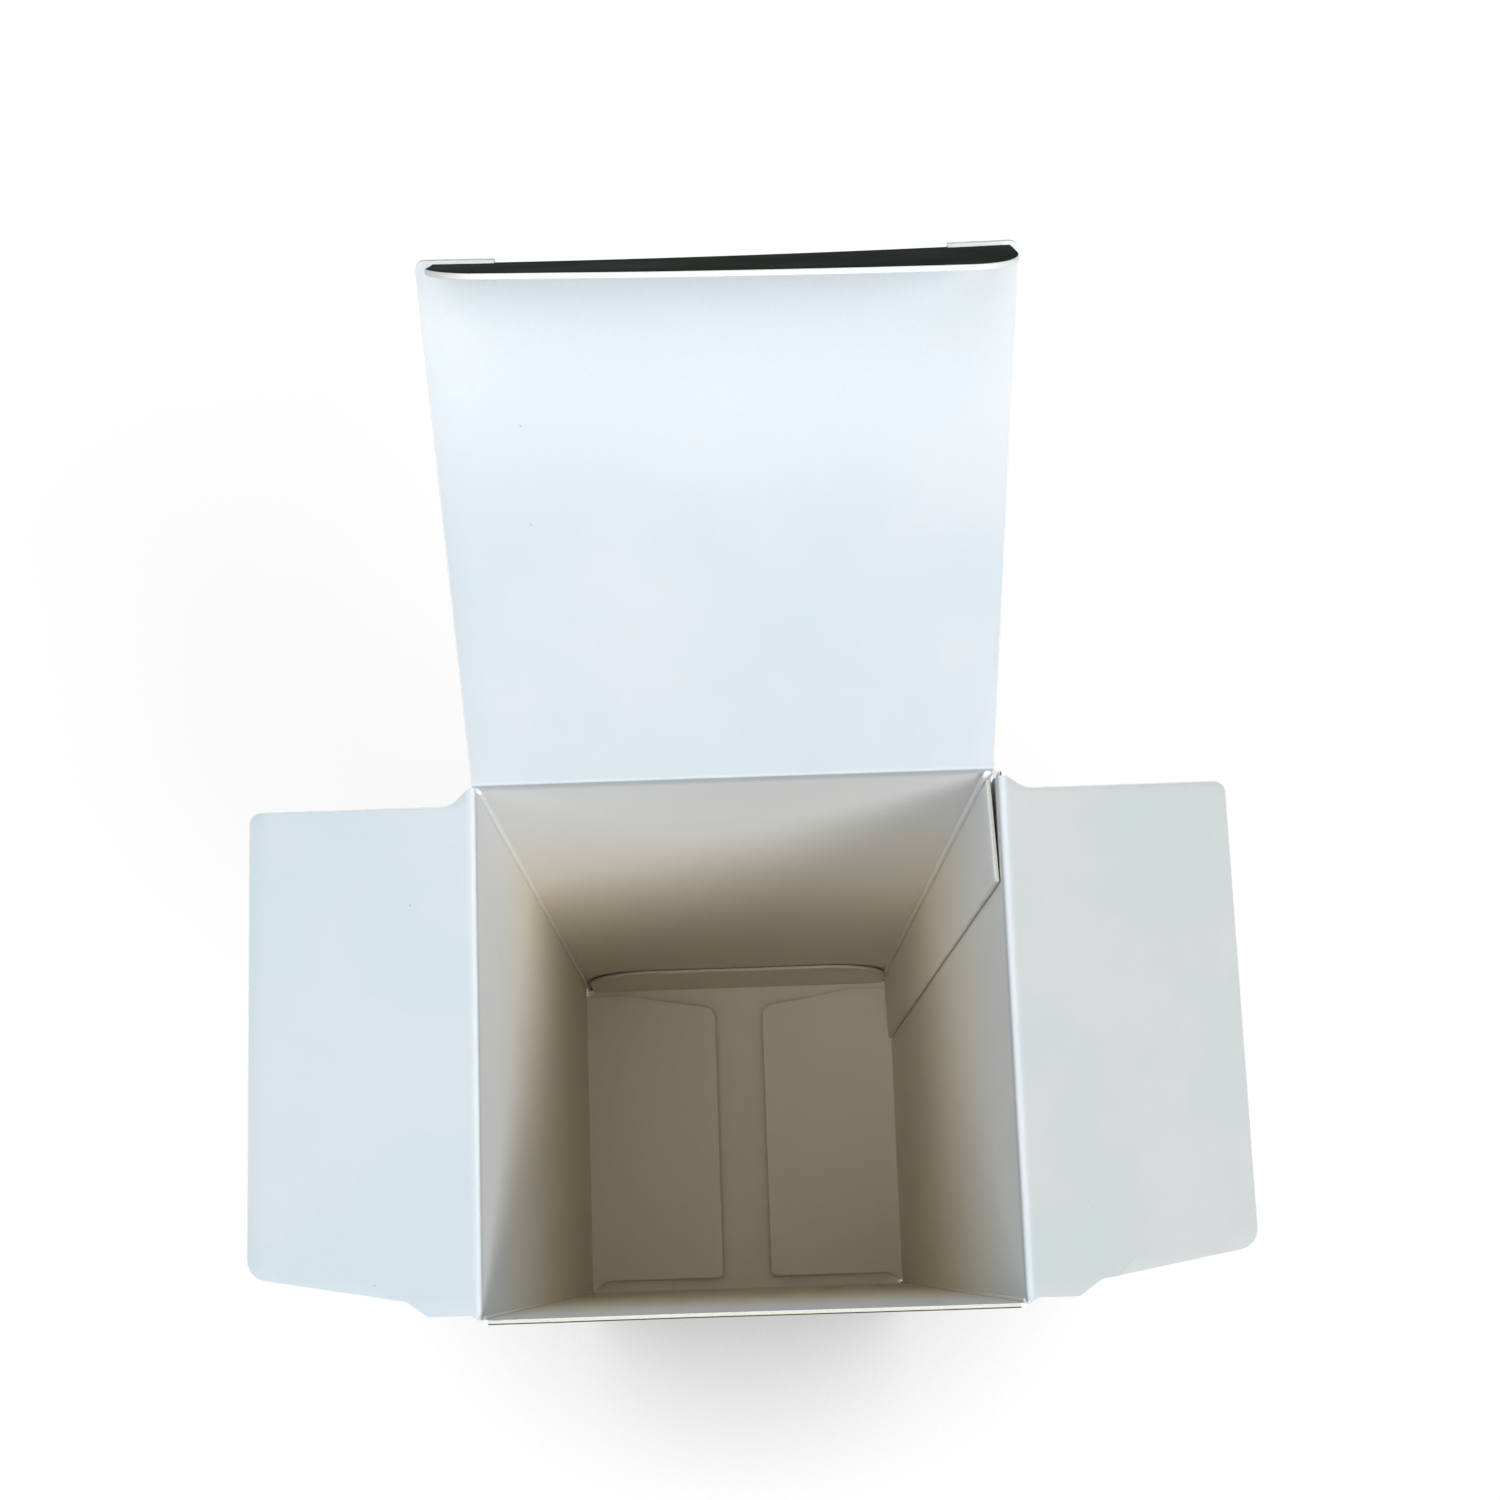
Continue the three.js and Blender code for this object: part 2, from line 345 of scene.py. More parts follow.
    @staticmethod
    def note_place(piece: Piece) -> None:
        """Writes where each vertex rests, so that patterns stay on board that bends."""
        layer = piece.data.attributes.new(PLACE, "FLOAT_VECTOR", "POINT")
        layer.data.foreach_set("vector", [c for v in piece.data.vertices for c in v.co])


@dataclass
class Nodes:
    """The nodes of one material or world, and the steps that they are laid in."""

    tree: bpy.types.NodeTree

    def add(self, kind: str, inputs: dict[str | int, object], **settings: object) -> bpy.types.Node:
        """Adds a node.

        Args:
            kind: the node's type.
            inputs: a number, a colour or another node's output for some of its inputs.
            settings: its other choices.

        Returns:
            The new node.
        """
        node = self.tree.nodes.new(kind)
        for key, value in settings.items():
            setattr(node, key, value)
        self.feed(node, inputs)
        return node

    def feed(self, node: bpy.types.Node, inputs: dict[str | int, object]) -> None:
        """Sets a node's inputs to numbers and colours, or joins them to other nodes.

        Args:
            node: the node.
            inputs: what each input gets.
        """
        for key, value in inputs.items():
            if isinstance(value, Socket):
                self.tree.links.new(value, node.inputs[key])
            else:
                node.inputs[key].default_value = value

    def noted(self, name: str, output: str) -> Socket:
        """An attribute of the piece, as its factor or its vector."""
        return self.add("ShaderNodeAttribute", {}, attribute_name=name).outputs[output]

    def scaled(self, place: Socket, size: float) -> Socket:
        """A place counted in steps of a size in millimetres."""
        steps = [1 / mm(size)] * 3
        return self.add("ShaderNodeMapping", {"Scale": steps, "Vector": place}).outputs["Vector"]

    def noise(self, place: Socket, grain: float, detail: float) -> Socket:
        """Soft noise on the board.

        Args:
            place: where the pattern is read.
            grain: size of one blotch in millimetres.
            detail: finer octaves.

        Returns:
            The noise from 0 to 1.
        """
        inputs = {"Scale": 1.0, "Detail": detail, "Vector": self.scaled(place, grain)}
        return self.add("ShaderNodeTexNoise", inputs).outputs["Fac"]

    def remap(self, value: Socket, span: Pair, ends: Pair = (0.0, 1.0)) -> Socket:
        """Stretches a value from one range to another, eased and held at the ends.

        Args:
            value: the value.
            span: its range, which may run downwards.
            ends: what the two ends of that range become.

        Returns:
            The stretched value.
        """
        inputs = dict(zip(("From Min", "From Max", "To Min", "To Max"), (*span, *ends)))
        inputs["Value"] = value
        return self.add(
            "ShaderNodeMapRange", inputs, interpolation_type="SMOOTHSTEP"
        ).outputs["Result"]

    def over(self, value: Socket, span: Pair, sign: int = 1) -> Socket:
        """A share that grows over a stretch in millimetres, or over its mirror image."""
        return self.remap(value, (sign * mm(span[0]), sign * mm(span[1])))

    def mix(self, share: Socket, first: object, second: object, blend: str = "MIX") -> Socket:
        """Mixes two colours.

        Args:
            share: how much of the second one.
            first: an output or a written colour.
            second: the same.
            blend: how the second one goes over the first.

        Returns:
            The mixed colour.
        """
        colours = [c if isinstance(c, Socket) else (*c, 1) for c in (first, second)]
        inputs = dict(zip(MIX_INPUTS, (share, *colours)))
        return self.add("ShaderNodeMix", inputs, data_type="RGBA", blend_type=blend).outputs[2]

    def multiply(self, first: Socket, second: object) -> Socket:
        """The product of a value and another value or number."""
        return self.add("ShaderNodeMath", {0: first, 1: second}, operation="MULTIPLY").outputs[0]

    def specks(self, place: Socket, spacing: float, size: float, rarity: float) -> Socket:
        """Scattered specks.

        Args:
            place: where the pattern is read.
            spacing: millimetres from one possible speck to the next.
            size: radius of a speck as a share of the spacing.
            rarity: share of the possible specks that stay away.

        Returns:
            1 on a speck and 0 beside it.
        """
        sharp = 0.01
        inputs = {"Scale": 1.0, "Vector": self.scaled(place, spacing)}
        cells = self.add("ShaderNodeTexVoronoi", inputs)
        split = self.add("ShaderNodeSeparateColor", {"Color": cells.outputs["Color"]})
        near = self.remap(cells.outputs["Distance"], (size, size / 2))
        chosen = self.remap(split.outputs["Red"], (rarity, rarity + sharp))
        return self.multiply(near, chosen)

    def relief(self, height: Socket, depth: float, strength: float) -> Socket:
        """The normal of a relief.

        Args:
            height: its pattern.
            depth: its real depth in millimetres.
            strength: how much of it shows.

        Returns:
            The normal for the shader.
        """
        inputs = {"Distance": mm(depth), "Strength": strength, "Height": height}
        return self.add("ShaderNodeBump", inputs).outputs["Normal"]


@dataclass(frozen=True)
class Finish:
    """Base of the procedural finishes.

    In each finish a noise is the grain in millimetres with its octaves, a span is the stretch of a
    pattern or of a place over which a tone comes in, and a relief is its depth and its strength.
    """

    name: str

    def make(self) -> bpy.types.Material:
        """Makes the material.

        Returns:
            The material, its shader fed with this finish's look.
        """
        material = bpy.data.materials.new(self.name)
        material.use_nodes = True
        nodes = Nodes(material.node_tree)
        shader = next(n for n in nodes.tree.nodes if n.type == "BSDF_PRINCIPLED")
        nodes.feed(shader, self.look(nodes))
        return material

    def look(self, nodes: Nodes) -> dict[str | int, object]:
        """What the shader's inputs get.

        Args:
            nodes: the material's nodes, to which this adds its own.

        Returns:
            A number, a colour or a node's output for some of the inputs.
        """
        raise NotImplementedError


@dataclass(frozen=True)
class WhiteLiner(Finish):
    """The unprinted inner side: cool white at the opening, with painted light and shade by place, and
    a warm painted shade down in the tube.
    """

    cool: Triple = (0.615, 0.70, 0.755)
    cloud: Triple = (0.67, 0.715, 0.77)
    cloud_noise: Pair = (14.0, 4)
    cloud_span: Pair = (0.38, 0.66)
    # Painted shade on the open dust flaps: the right one darker and warmer, the left one a little
    # darker.
    left_flap_shade: Triple = (0.93, 0.95, 0.96)
    right_flap_shade: Triple = (0.88, 0.85, 0.80)
    flap_shade_span: Pair = (24.95, 25.6)
    # Painted light: the lid turns a brighter, bluer white towards its far end.
    lid_end_light: Triple = (0.79, 0.85, 0.90)
    lid_end_light_span: Pair = (164.0, 184.0)
    # Painted light: below the opening the walls get a brighter, more neutral white than the flaps and
    # lid, making up for the light that upright board gets less of.
    wall: Triple = (0.88, 0.90, 0.91)
    wall_light_span: Pair = (149.1, 147.0)
    # Painted shade: a darker, warmer yellowish white deeper in the tube, standing in for the shade and
    # warm bounced light down inside it.
    deep_warm_shade: Triple = (0.91, 0.84, 0.705)
    deep_warm_shade_span: Pair = (150.0, 70.0)
    fibre: Triple = (0.62, 0.66, 0.68)
    fibre_noise: Pair = (0.35, 5)
    fibre_span: Pair = (0.3, 0.75)
    fibre_share: float = 0.09
    fibre_relief: Pair = (0.012, 0.6)
    # Painted highlight: the scores on the white side turn a brighter white, as where the bent board
    # catches the light.
    bead: Triple = (0.97, 0.985, 0.99)
    bead_highlight_share: float = 0.9
    speck: Triple = (0.30, 0.29, 0.27)
    speck_spacing: float = 3.4
    speck_size: float = 0.045
    speck_rarity: float = 0.86
    speck_share: float = 0.4
    roughness: Pair = (0.67, 0.77)
    specular: float = 0.3

    def look(self, nodes: Nodes) -> dict[str | int, object]:
        """What the shader's inputs get: tones by place with painted light and shade, fibres, a painted
        highlight on the scores and a few specks.

        Args:
            nodes: the material's nodes, to which this adds its own.

        Returns:
            A number, a colour or a node's output for some of the inputs.
        """
        place = nodes.noted(PLACE, "Vector")
        split = nodes.add("ShaderNodeSeparateXYZ", {0: place}).outputs
        across, height = split["X"], split["Z"]
        clouds = nodes.remap(nodes.noise(place, *self.cloud_noise), self.cloud_span)
        white = nodes.mix(clouds, self.cool, self.cloud)
        # Painted shade: each open dust flap beyond the walls is multiplied by its darker tint.
        for sign, tint in ((-1, self.left_flap_shade), (1, self.right_flap_shade)):
            white = nodes.mix(nodes.over(across, self.flap_shade_span, sign), white, tint, "MULTIPLY")
        # Painted light and shade by height: the lid's brighter far end, the brighter walls, and the
        # warm shade deep in the tube.
        for tint, span in (
            (self.lid_end_light, self.lid_end_light_span), (self.wall, self.wall_light_span),
            (self.deep_warm_shade, self.deep_warm_shade_span),
        ):
            white = nodes.mix(nodes.over(height, span), white, tint)
        fibres = nodes.noise(place, *self.fibre_noise)
        grain = nodes.remap(fibres, self.fibre_span, (0.0, self.fibre_share))
        # Painted highlight along the scores on the white side.
        score = nodes.multiply(nodes.noted(WEAR_AND_HIGHLIGHT, "Fac"), self.bead_highlight_share)
        dots = nodes.specks(place, self.speck_spacing, self.speck_size, self.speck_rarity)
        for share, tint in (
            (grain, self.fibre), (score, self.bead),
            (nodes.multiply(dots, self.speck_share), self.speck),
        ):
            white = nodes.mix(share, white, tint)
        return {
            "Base Color": white,
            "Roughness": nodes.remap(clouds, (0, 1), self.roughness),
            "Specular IOR Level": self.specular,
            "Normal": nodes.relief(fibres, *self.fibre_relief),
        }


@dataclass(frozen=True)
class DarkPrint(Finish):
    """The printed outer side: a very dark green under matt varnish, rubbed along the folds."""

    ink: Triple = (0.0105, 0.0205, 0.0145)
    thin_ink: Triple = (0.013, 0.0245, 0.0175)
    mottle_noise: Pair = (5.0, 5)
    mottle_span: Pair = (0.35, 0.7)
    bare: Triple = (0.36, 0.38, 0.35)
    crack_noise: Pair = (0.4, 6)
    crack_span: Pair = (0.56, 0.70)
    fibre_noise: Pair = (0.3, 4)
    fibre_relief: Pair = (0.008, 0.5)
    sheen_noise: Pair = (9.0, 3)
    sheen_span: Pair = (0.3, 0.7)
    roughness: Pair = (0.64, 0.78)
    specular: float = 0.01

    def look(self, nodes: Nodes) -> dict[str | int, object]:
        """What the shader's inputs get: mottled ink, cracked along the scores.

        Args:
            nodes: the material's nodes, to which this adds its own.

        Returns:
            A number, a colour or a node's output for some of the inputs.
        """
        place = nodes.noted(PLACE, "Vector")
        mottle = nodes.remap(nodes.noise(place, *self.mottle_noise), self.mottle_span)
        cracks = nodes.remap(nodes.noise(place, *self.crack_noise), self.crack_span)
        worn = nodes.multiply(nodes.noted(WEAR_AND_HIGHLIGHT, "Fac"), cracks)
        sheen = nodes.noise(place, *self.sheen_noise)
        fibres = nodes.noise(place, *self.fibre_noise)
        return {
            "Base Color": nodes.mix(worn, nodes.mix(mottle, self.ink, self.thin_ink), self.bare),
            "Roughness": nodes.remap(sheen, self.sheen_span, self.roughness),
            "Specular IOR Level": self.specular,
            "Normal": nodes.relief(fibres, *self.fibre_relief),
        }


@dataclass(frozen=True)
class RawEdge(Finish):
    """The cut edge: a yellowish-white core between thin coats, with a dark line on its outer side,
    partly the print's edge and partly painted shade of the cut.
    """

    core: Triple = (0.84, 0.83, 0.73)
    ply: Triple = (0.74, 0.71, 0.59)
    streak_noise: Pair = (0.12, 4)
    streak_span: Pair = (0.35, 0.7)
    streak_relief: Pair = (0.03, 0.8)
    coat: Triple = (0.87, 0.90, 0.89)
    coat_span: Pair = (0.2, 0.6)
    # A dark line on the outer side of the cut: partly the print's own edge, partly painted shade.
    ink: Triple = (0.06, 0.065, 0.05)
    ink_and_shade_span: Pair = (-0.4, -0.62)
    roughness: float = 0.9
    specular: float = 0.2

    def look(self, nodes: Nodes) -> dict[str | int, object]:
        """What the shader's inputs get: the layers by their depth in the board.

        Args:
            nodes: the material's nodes, to which this adds its own.

        Returns:
            A number, a colour or a node's output for some of the inputs.
        """
        ply = nodes.noted(PLY, "Fac")
        noise = nodes.noise(nodes.noted(PLACE, "Vector"), *self.streak_noise)
        streaks = nodes.remap(noise, self.streak_span)
        core = nodes.mix(streaks, self.core, self.ply)
        coated = nodes.mix(nodes.remap(ply, self.coat_span), core, self.coat)
        return {
            # The outer share of the edge turns dark: the print's edge, and painted shade in the cut.
            "Base Color": nodes.mix(nodes.remap(ply, self.ink_and_shade_span), coated, self.ink),
            "Roughness": self.roughness,
            "Specular IOR Level": self.specular,
            "Normal": nodes.relief(streaks, *self.streak_relief),
        }


@dataclass(frozen=True)
class DriedGlue(Finish):
    """White glue, dried to a slightly yellow skin."""

    glue: Triple = (0.80, 0.74, 0.56)
    thin: Triple = (0.86, 0.84, 0.72)
    blob_noise: Pair = (1.5, 3)
    blob_span: Pair = (0.35, 0.65)
    blob_relief: Pair = (0.05, 0.7)
    roughness: float = 0.38

    def look(self, nodes: Nodes) -> dict[str | int, object]:
        """What the shader's inputs get: thick and thin blobs.

        Args:
            nodes: the material's nodes, to which this adds its own.

        Returns:
            A number, a colour or a node's output for some of the inputs.
        """
        where = nodes.add("ShaderNodeTexCoord", {}).outputs["Object"]
        blobs = nodes.noise(where, *self.blob_noise)
        return {
            "Base Color": nodes.mix(nodes.remap(blobs, self.blob_span), self.glue, self.thin),
            "Roughness": self.roughness,
            "Normal": nodes.relief(blobs, *self.blob_relief),
        }


@dataclass
class Finishes:
    """The materials of one carton."""

    inner: bpy.types.Material = field(default_factory=WhiteLiner("white_liner").make)
    outer: bpy.types.Material = field(default_factory=DarkPrint("dark_green_print").make)
    edge: bpy.types.Material = field(default_factory=RawEdge("cut_board_edge").make)
    glue: bpy.types.Material = field(default_factory=DriedGlue("dried_glue").make)

    def make_board(self, piece: Piece, board: float, outside: Layer = Layer.PRINT) -> None:
        """Gives a flat sheet its three material slots and the thickness of its board.

        Args:
            piece: the sheet, which lies in the middle of the board.
            board: the thickness.
            outside: the slot of its lower face. The rim gets that of a cut edge.
        """
        bpy.ops.object.mode_set(mode="OBJECT")
        piece.data.materials.clear()
        for material in (self.inner, self.outer, self.edge):
            piece.data.materials.append(material)
        Bench.apply(
            piece, "SOLIDIFY", thickness=board, offset=0.0, material_offset=outside.value,
            material_offset_rim=Layer.EDGE.value,
        )


@dataclass(frozen=True)
class Trim:
    """A straight cut through two points of the outline. What lies to its right is waste."""

    first: Pair
    second: Pair
    low: float = -math.inf
    high: float = math.inf


@dataclass(frozen=True)
class Notch:
    """A rectangle that is cut out of a panel."""

    left: float
    right: float
    near: float
    far: float


@dataclass(frozen=True)
class Round:
    """A rounded corner: its place before rounding and its radius in millimetres."""

    x: float
    y: float
    radius: float


@dataclass
class Curl:
    """How a panel departs from flat, in millimetres at its strongest."""

    lift: float = 0.0
    lift_power: float = 2.0
    twist: float = 0.0
    unevenness: float = 0.05


@dataclass
class Panel:
    """One flat panel of board between its scores and raw edges."""

    name: str
    node: str
    body: str
    place: Matrix
    finishes: Finishes
    trims: Sequence[Trim] = ()
    notches: Sequence[Notch] = ()
    rounds: Sequence[Round] = ()
    joined: Sequence[Side] = ()
    rolled: Sequence[Side] = ()
    inset: float = 0.0
    overrun: float = 0.0
    edge_ply: float = 0.0
    even_edge: float | None = None
    curl: Curl = field(default_factory=Curl)
    flex: Callable[[Piece], None] | None = None
    cell: float = 3.0
    edge_bevel: float = 0.09
    held_reach: float = 9.0
    waves: float = 22.0

    def __post_init__(self) -> None:
        """Reads the panel's extent and thickness off the construction."""
        self.low, self.high = node_extent(self.node, self.place)
        self.board = self.high.z - self.low.z
        self.low.x -= mm(self.overrun)
        if Side.LEFT in self.rolled:
            self.low.x += mm(self.inset)
        if Side.RIGHT in self.rolled:
            self.high.x -= mm(self.inset)
        if Side.NEAR in self.rolled:
            self.low.y += mm(self.inset)

    def build(self) -> None:
        """Cuts, thickens, curls, places and dresses the panel."""
        piece = self.cut_out()
        self.thicken(piece)
        self.bend(piece)
        Bench.settle(piece, self.place)
        if self.flex is not None:
            self.flex(piece)
        Bench.note_place(piece)
        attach(piece, self.body)
        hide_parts(self.node)
        log.info("%s: %d faces", self.name, len(piece.data.polygons))

    def cut_out(self) -> Piece:
        """Cuts the outline from a sheet and scores it into cells.

        Returns:
            The flat panel, in edit mode.
        """
        piece = Bench.grid(self.name, self.low, self.high, 1, 1)
        for trim in self.trims:
            self.trim(piece, trim)
        for notch in self.notches:
            self.cut_notch(piece, notch)
        bpy.ops.mesh.select_mode(type="FACE")
        bpy.ops.mesh.select_all(action="SELECT")
        bpy.ops.mesh.dissolve_faces()
        for corner in self.rounds:
            self.round_off(piece, corner)
        self.score_cells()
        return piece

    @staticmethod
    def trim(piece: Piece, trim: Trim) -> None:
        """Makes one straight cut, within its reach along Y.

        Args:
            piece: the flat sheet in edit mode.
            trim: the cut.
        """
        first = Vector((*trim.first, 0))
        run = Vector((*trim.second, 0)) - first
        right = Vector((run.y, -run.x, 0)).normalized()
        for limit in (trim.low, trim.high):
            if math.isfinite(limit):
                Bench.cut_all(Vector((0, limit, 0)), BACK)
        Bench.pick_faces(piece, lambda c: trim.low < c.y < trim.high)
        Bench.cut(first, right)
        Bench.pick_faces(
            piece, lambda c: trim.low < c.y < trim.high and (c - first).dot(right) > 0
        )
        bpy.ops.mesh.delete(type="FACE")

    @staticmethod
    def cut_notch(piece: Piece, notch: Notch) -> None:
        """Cuts a rectangle out of the flat sheet in edit mode.

        Args:
            piece: the flat sheet in edit mode.
            notch: the rectangle.
        """
        for x in (notch.left, notch.right):
            Bench.cut_all(Vector((x, 0, 0)), RIGHT)
        for y in (notch.near, notch.far):
            Bench.cut_all(Vector((0, y, 0)), BACK)
        Bench.pick_faces(
            piece, lambda c: notch.left < c.x < notch.right and notch.near < c.y < notch.far
        )
        bpy.ops.mesh.delete(type="FACE")

    @staticmethod
    def round_off(piece: Piece, corner: Round) -> None:
        """Rounds one corner of the outline with an arc.

        Args:
            piece: the flat sheet in edit mode.
            corner: the corner, which has to be there.
        """
        at = Vector((corner.x, corner.y, 0))
        found = Bench.pick_verts(piece, lambda c: (c - at).length < TINY)
        if found != 1:
            raise ValueError(f"{piece.name}: {found} corners at {tuple(at / MM)}")
        form = bmesh.from_edit_mesh(piece.data)
        vertex = next(v for v in form.verts if v.select)
        arms = [(e.other_vert(vertex).co - vertex.co).normalized() for e in vertex.link_edges]
        bpy.ops.mesh.bevel(
            offset_type="OFFSET", offset=mm(corner.radius) / math.tan(arms[0].angle(arms[1]) / 2),
            segments=ARC_SEGMENTS, profile=0.5, affect="VERTICES",
        )

    def score_cells(self) -> None:
        """Divides the panel into cells, small enough to bend."""
        for axis in (0, 1):
            span = self.high[axis] - self.low[axis]
            count = max(2, round(span / mm(self.cell)))
            for i in range(1, count):
                at = Vector()
                at[axis] = self.low[axis] + span * i / count
                normal = Vector()
                normal[axis] = 1
                Bench.cut_all(at, normal)

    def thicken(self, piece: Piece) -> None:
        """Gives the panel its thickness and breaks its raw edges.

        Args:
            piece: the flat panel in edit mode.
        """
        self.finishes.make_board(piece, self.board)
        Bench.edit(piece)
        bpy.ops.mesh.select_mode(type="EDGE")
        bpy.ops.mesh.select_all(action="DESELECT")
        form = bmesh.from_edit_mesh(piece.data)
        for edge in form.edges:
            layers = {face.material_index for face in edge.link_faces}
            middle = (edge.verts[0].co + edge.verts[1].co) / 2
            on_rim = Layer.EDGE.value in layers and len(layers) == 2
            held = any(self.distance(middle, side) < TINY for side in self.joined)
            edge.select_set(on_rim and not held)
        bmesh.update_edit_mesh(piece.data)
        bpy.ops.mesh.bevel(
            offset_type="OFFSET", offset=mm(self.edge_bevel), segments=2, profile=0.5,
            affect="EDGES", material=Layer.EDGE.value,
        )
        bpy.ops.object.mode_set(mode="OBJECT")
        Bench.note_ply(piece, self.board, self.even_edge, self.edge_ply)

    def distance(self, place: Vector, side: Side) -> float:
        """How far a place lies from one side of the panel.

        Args:
            place: a place in the panel's own axes.
            side: the side, as before any trims.

        Returns:
            The distance, positive inside the panel.
        """
        return {
            Side.NEAR: place.y - self.low.y,
            Side.FAR: self.high.y - place.y,
            Side.LEFT: place.x - self.low.x,
            Side.RIGHT: self.high.x - place.x,
        }[side]

    def freedom(self, place: Vector) -> float:
        """0 where a fold holds the panel and 1 well away from it."""
        nearest = min((self.distance(place, side) for side in self.joined), default=1.0)
        return smooth(nearest / mm(self.held_reach))

    def bend(self, piece: Piece) -> None:
        """Lifts and twists the panel, and gives it the faint unevenness of real board.

        Args:
            piece: the piece, lying flat in its own axes.
        """
        curl = self.curl
        size = self.high - self.low
        middle = (self.high + self.low) / 2

        def across(co: Vector) -> float:
            """From -1 at the left side to 1 at the right side."""
            return (co.x - middle.x) / (size.x / 2)

        def along(co: Vector) -> float:
            """From 0 at the score to 1 at the far side."""
            return (co.y - self.low.y) / size.y

        if curl.lift != 0:
            Bench.press(piece, curl.lift, lambda co: max(0.0, along(co)) ** curl.lift_power)
        if curl.twist != 0:
            Bench.press(piece, 2 * curl.twist, lambda co: smooth(along(co)) * (across(co) + 1) / 2)
            Bench.press(piece, -curl.twist, lambda co: smooth(along(co)))
        Bench.press(piece, 2 * curl.unevenness, self.freedom, self.place, grain=self.waves)


@dataclass
class Fold:
    """A strip of scored board between two panels, with a bead inside and a groove outside.

    The strip is flat beside each panel and bends tightly between the two. At an upright corner of
    the tube the bead is thick enough to be a roll, which lies in the corner.
    """

    name: str
    node: str
    at: Vector
    to_first: Vector
    to_second: Vector
    first_inner: Vector
    reach: float
    finishes: Finishes
    bodies: tuple[str, ...]
    bend_radius: float = 0.27
    bead_height: float = 0.05
    bead_width: float = 0.15
    side_groove: float = 0.012
    side_groove_place: float = 2.3
    side_groove_width: float = 0.8
    groove_depth: float = 0.05
    groove_width: float = 1.4
    roll: float = 0.0
    roll_wrap: float = 84.0
    roll_spread: float = 1.75
    roll_blend: float = 0.4
    roll_end: float = 0.6
    roll_rings: Sequence[float] = (0.1, 0.25, 0.5, 1.0)
    grain: float = 1.6
    grain_width: float = 1.8
    grain_height: float = 0.06
    cut_ply: float = 0.9
    # Heights over which a score's rubbed print and painted highlight fade out down an upright strip;
    # the dimming highlight is painted shade.
    fade_span: Pair = (149.0, 88.0)
    side: float = 0.0
    widest: Pair | None = None
    oblique: bool = False
    spans: Sequence[Pair] = ()
    flex: Callable[[Piece], None] | None = None
    # How much the score shows: rubbed print on the outer side, and a painted highlight on the white
    # side.
    wear_and_highlight: float = 0.36
    rows: int = 26
    column: float = 0.7
    held_share: Pair = (0.02, 0.5)
    held_spare: float = 1.06

    def __post_init__(self) -> None:
        """Works out the bend from the directions of the two panels."""
        self.travel = -self.to_first
        self.place = axes(self.at + self.to_first * self.reach, self.travel, self.first_inner)
        turned = self.travel.cross(self.to_second).dot(self.place.to_3x3().col[0])
        self.angle = math.atan2(turned, self.travel.dot(self.to_second))
        half = math.tan(abs(self.angle) / 2)
        self.radius = min(mm(self.bend_radius), self.reach / half)
        self.straight = self.reach - self.radius * half
        self.length = 2 * self.straight + self.radius * abs(self.angle)
        low, high = node_extent(self.node, self.place)
        self.flap_ends = (low.x, high.x)
        self.left, self.right = self.flap_ends
        wall_low, wall_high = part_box("front_wall")
        self.board = wall_high.y - wall_low.y
        if self.widest is not None:
            self.left = min(self.left, self.widest[0])
            self.right = max(self.right, self.widest[1])
        if self.spans:
            self.up = round(self.place.to_3x3().col[0].z)
            ends = [self.up * end for span in self.spans for end in span]
            self.left, self.right = min(ends), max(ends)

    def build(self) -> None:
        """Makes, beads, bends, places and dresses the strip."""
        piece = self.strip()
        self.bead(piece)
        self.roughen(piece)
        self.curve(piece)
        Bench.settle(piece, self.place)
        if self.flex is not None:
            self.flex(piece)
        Bench.note_place(piece)
        self.attach(piece)
        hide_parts(self.node)
        log.info("%s: %d faces, bent by %.0f degrees", self.name, len(piece.data.polygons),
                 math.degrees(self.angle))

    def strip(self) -> Piece:
        """Makes the flat strip with its thickness.

        Returns:
            The strip, with its depths noted, and how much its score shows as rubbed print and painted
            highlight.
        """
        low = Vector((self.left, 0, 0))
        high = Vector((self.right, self.length, 0))
        columns = round((self.right - self.left) / mm(self.column))
        piece = Bench.grid(self.name, low, high, columns, self.rows)
        self.end_zones(piece)
        if self.oblique:
            middle = self.length / 2
            left, right = self.flap_ends
            Panel.trim(piece, Trim((left, self.length), (self.left, middle), low=middle))
            Panel.trim(piece, Trim((self.right, middle), (right, self.length), low=middle))
        if self.roll != 0:
            for share in self.roll_rings:
                top = self.spans[1][1] - mm(self.roll_end) * share
                Bench.cut_all(Vector((self.up * top, 0, 0)), RIGHT)
        self.finishes.make_board(piece, self.board)
        Bench.note_ply(piece, self.board, even=self.cut_ply if self.spans else None)
        # How much the score shows: rubbed print outside, and a painted highlight on the white side
        # that dims down the tube as painted shade.
        Bench.note(piece, WEAR_AND_HIGHLIGHT, [
            self.wear_and_highlight * self.hump(v.co.y, self.groove_width) * self.fade(v.co.x)
            for v in piece.data.vertices
        ])
        return piece

    def zone(self, y: float) -> int:
        """0 on the first side of an upright strip, 1 on its bend and 2 on its second side."""
        return int(y > mm(self.side)) + int(y > self.length - mm(self.side))

    def end_zones(self, piece: Piece) -> None:
        """Ends the two sides and the bend of an upright strip each at its own foot and top.

        Args:
            piece: the flat strip in edit mode.
        """
        for number, (foot, top) in enumerate(self.spans):
            for end in (foot, top):
                Bench.pick_faces(piece, lambda c, n=number: self.zone(c.y) == n)
                Bench.cut(Vector((self.up * end, 0, 0)), RIGHT)
            found = Bench.pick_faces(
                piece,
                lambda c, n=number, f=foot, t=top: self.zone(c.y) == n and not f < self.up * c.x < t,
            )
            if found:
                bpy.ops.mesh.delete(type="FACE")

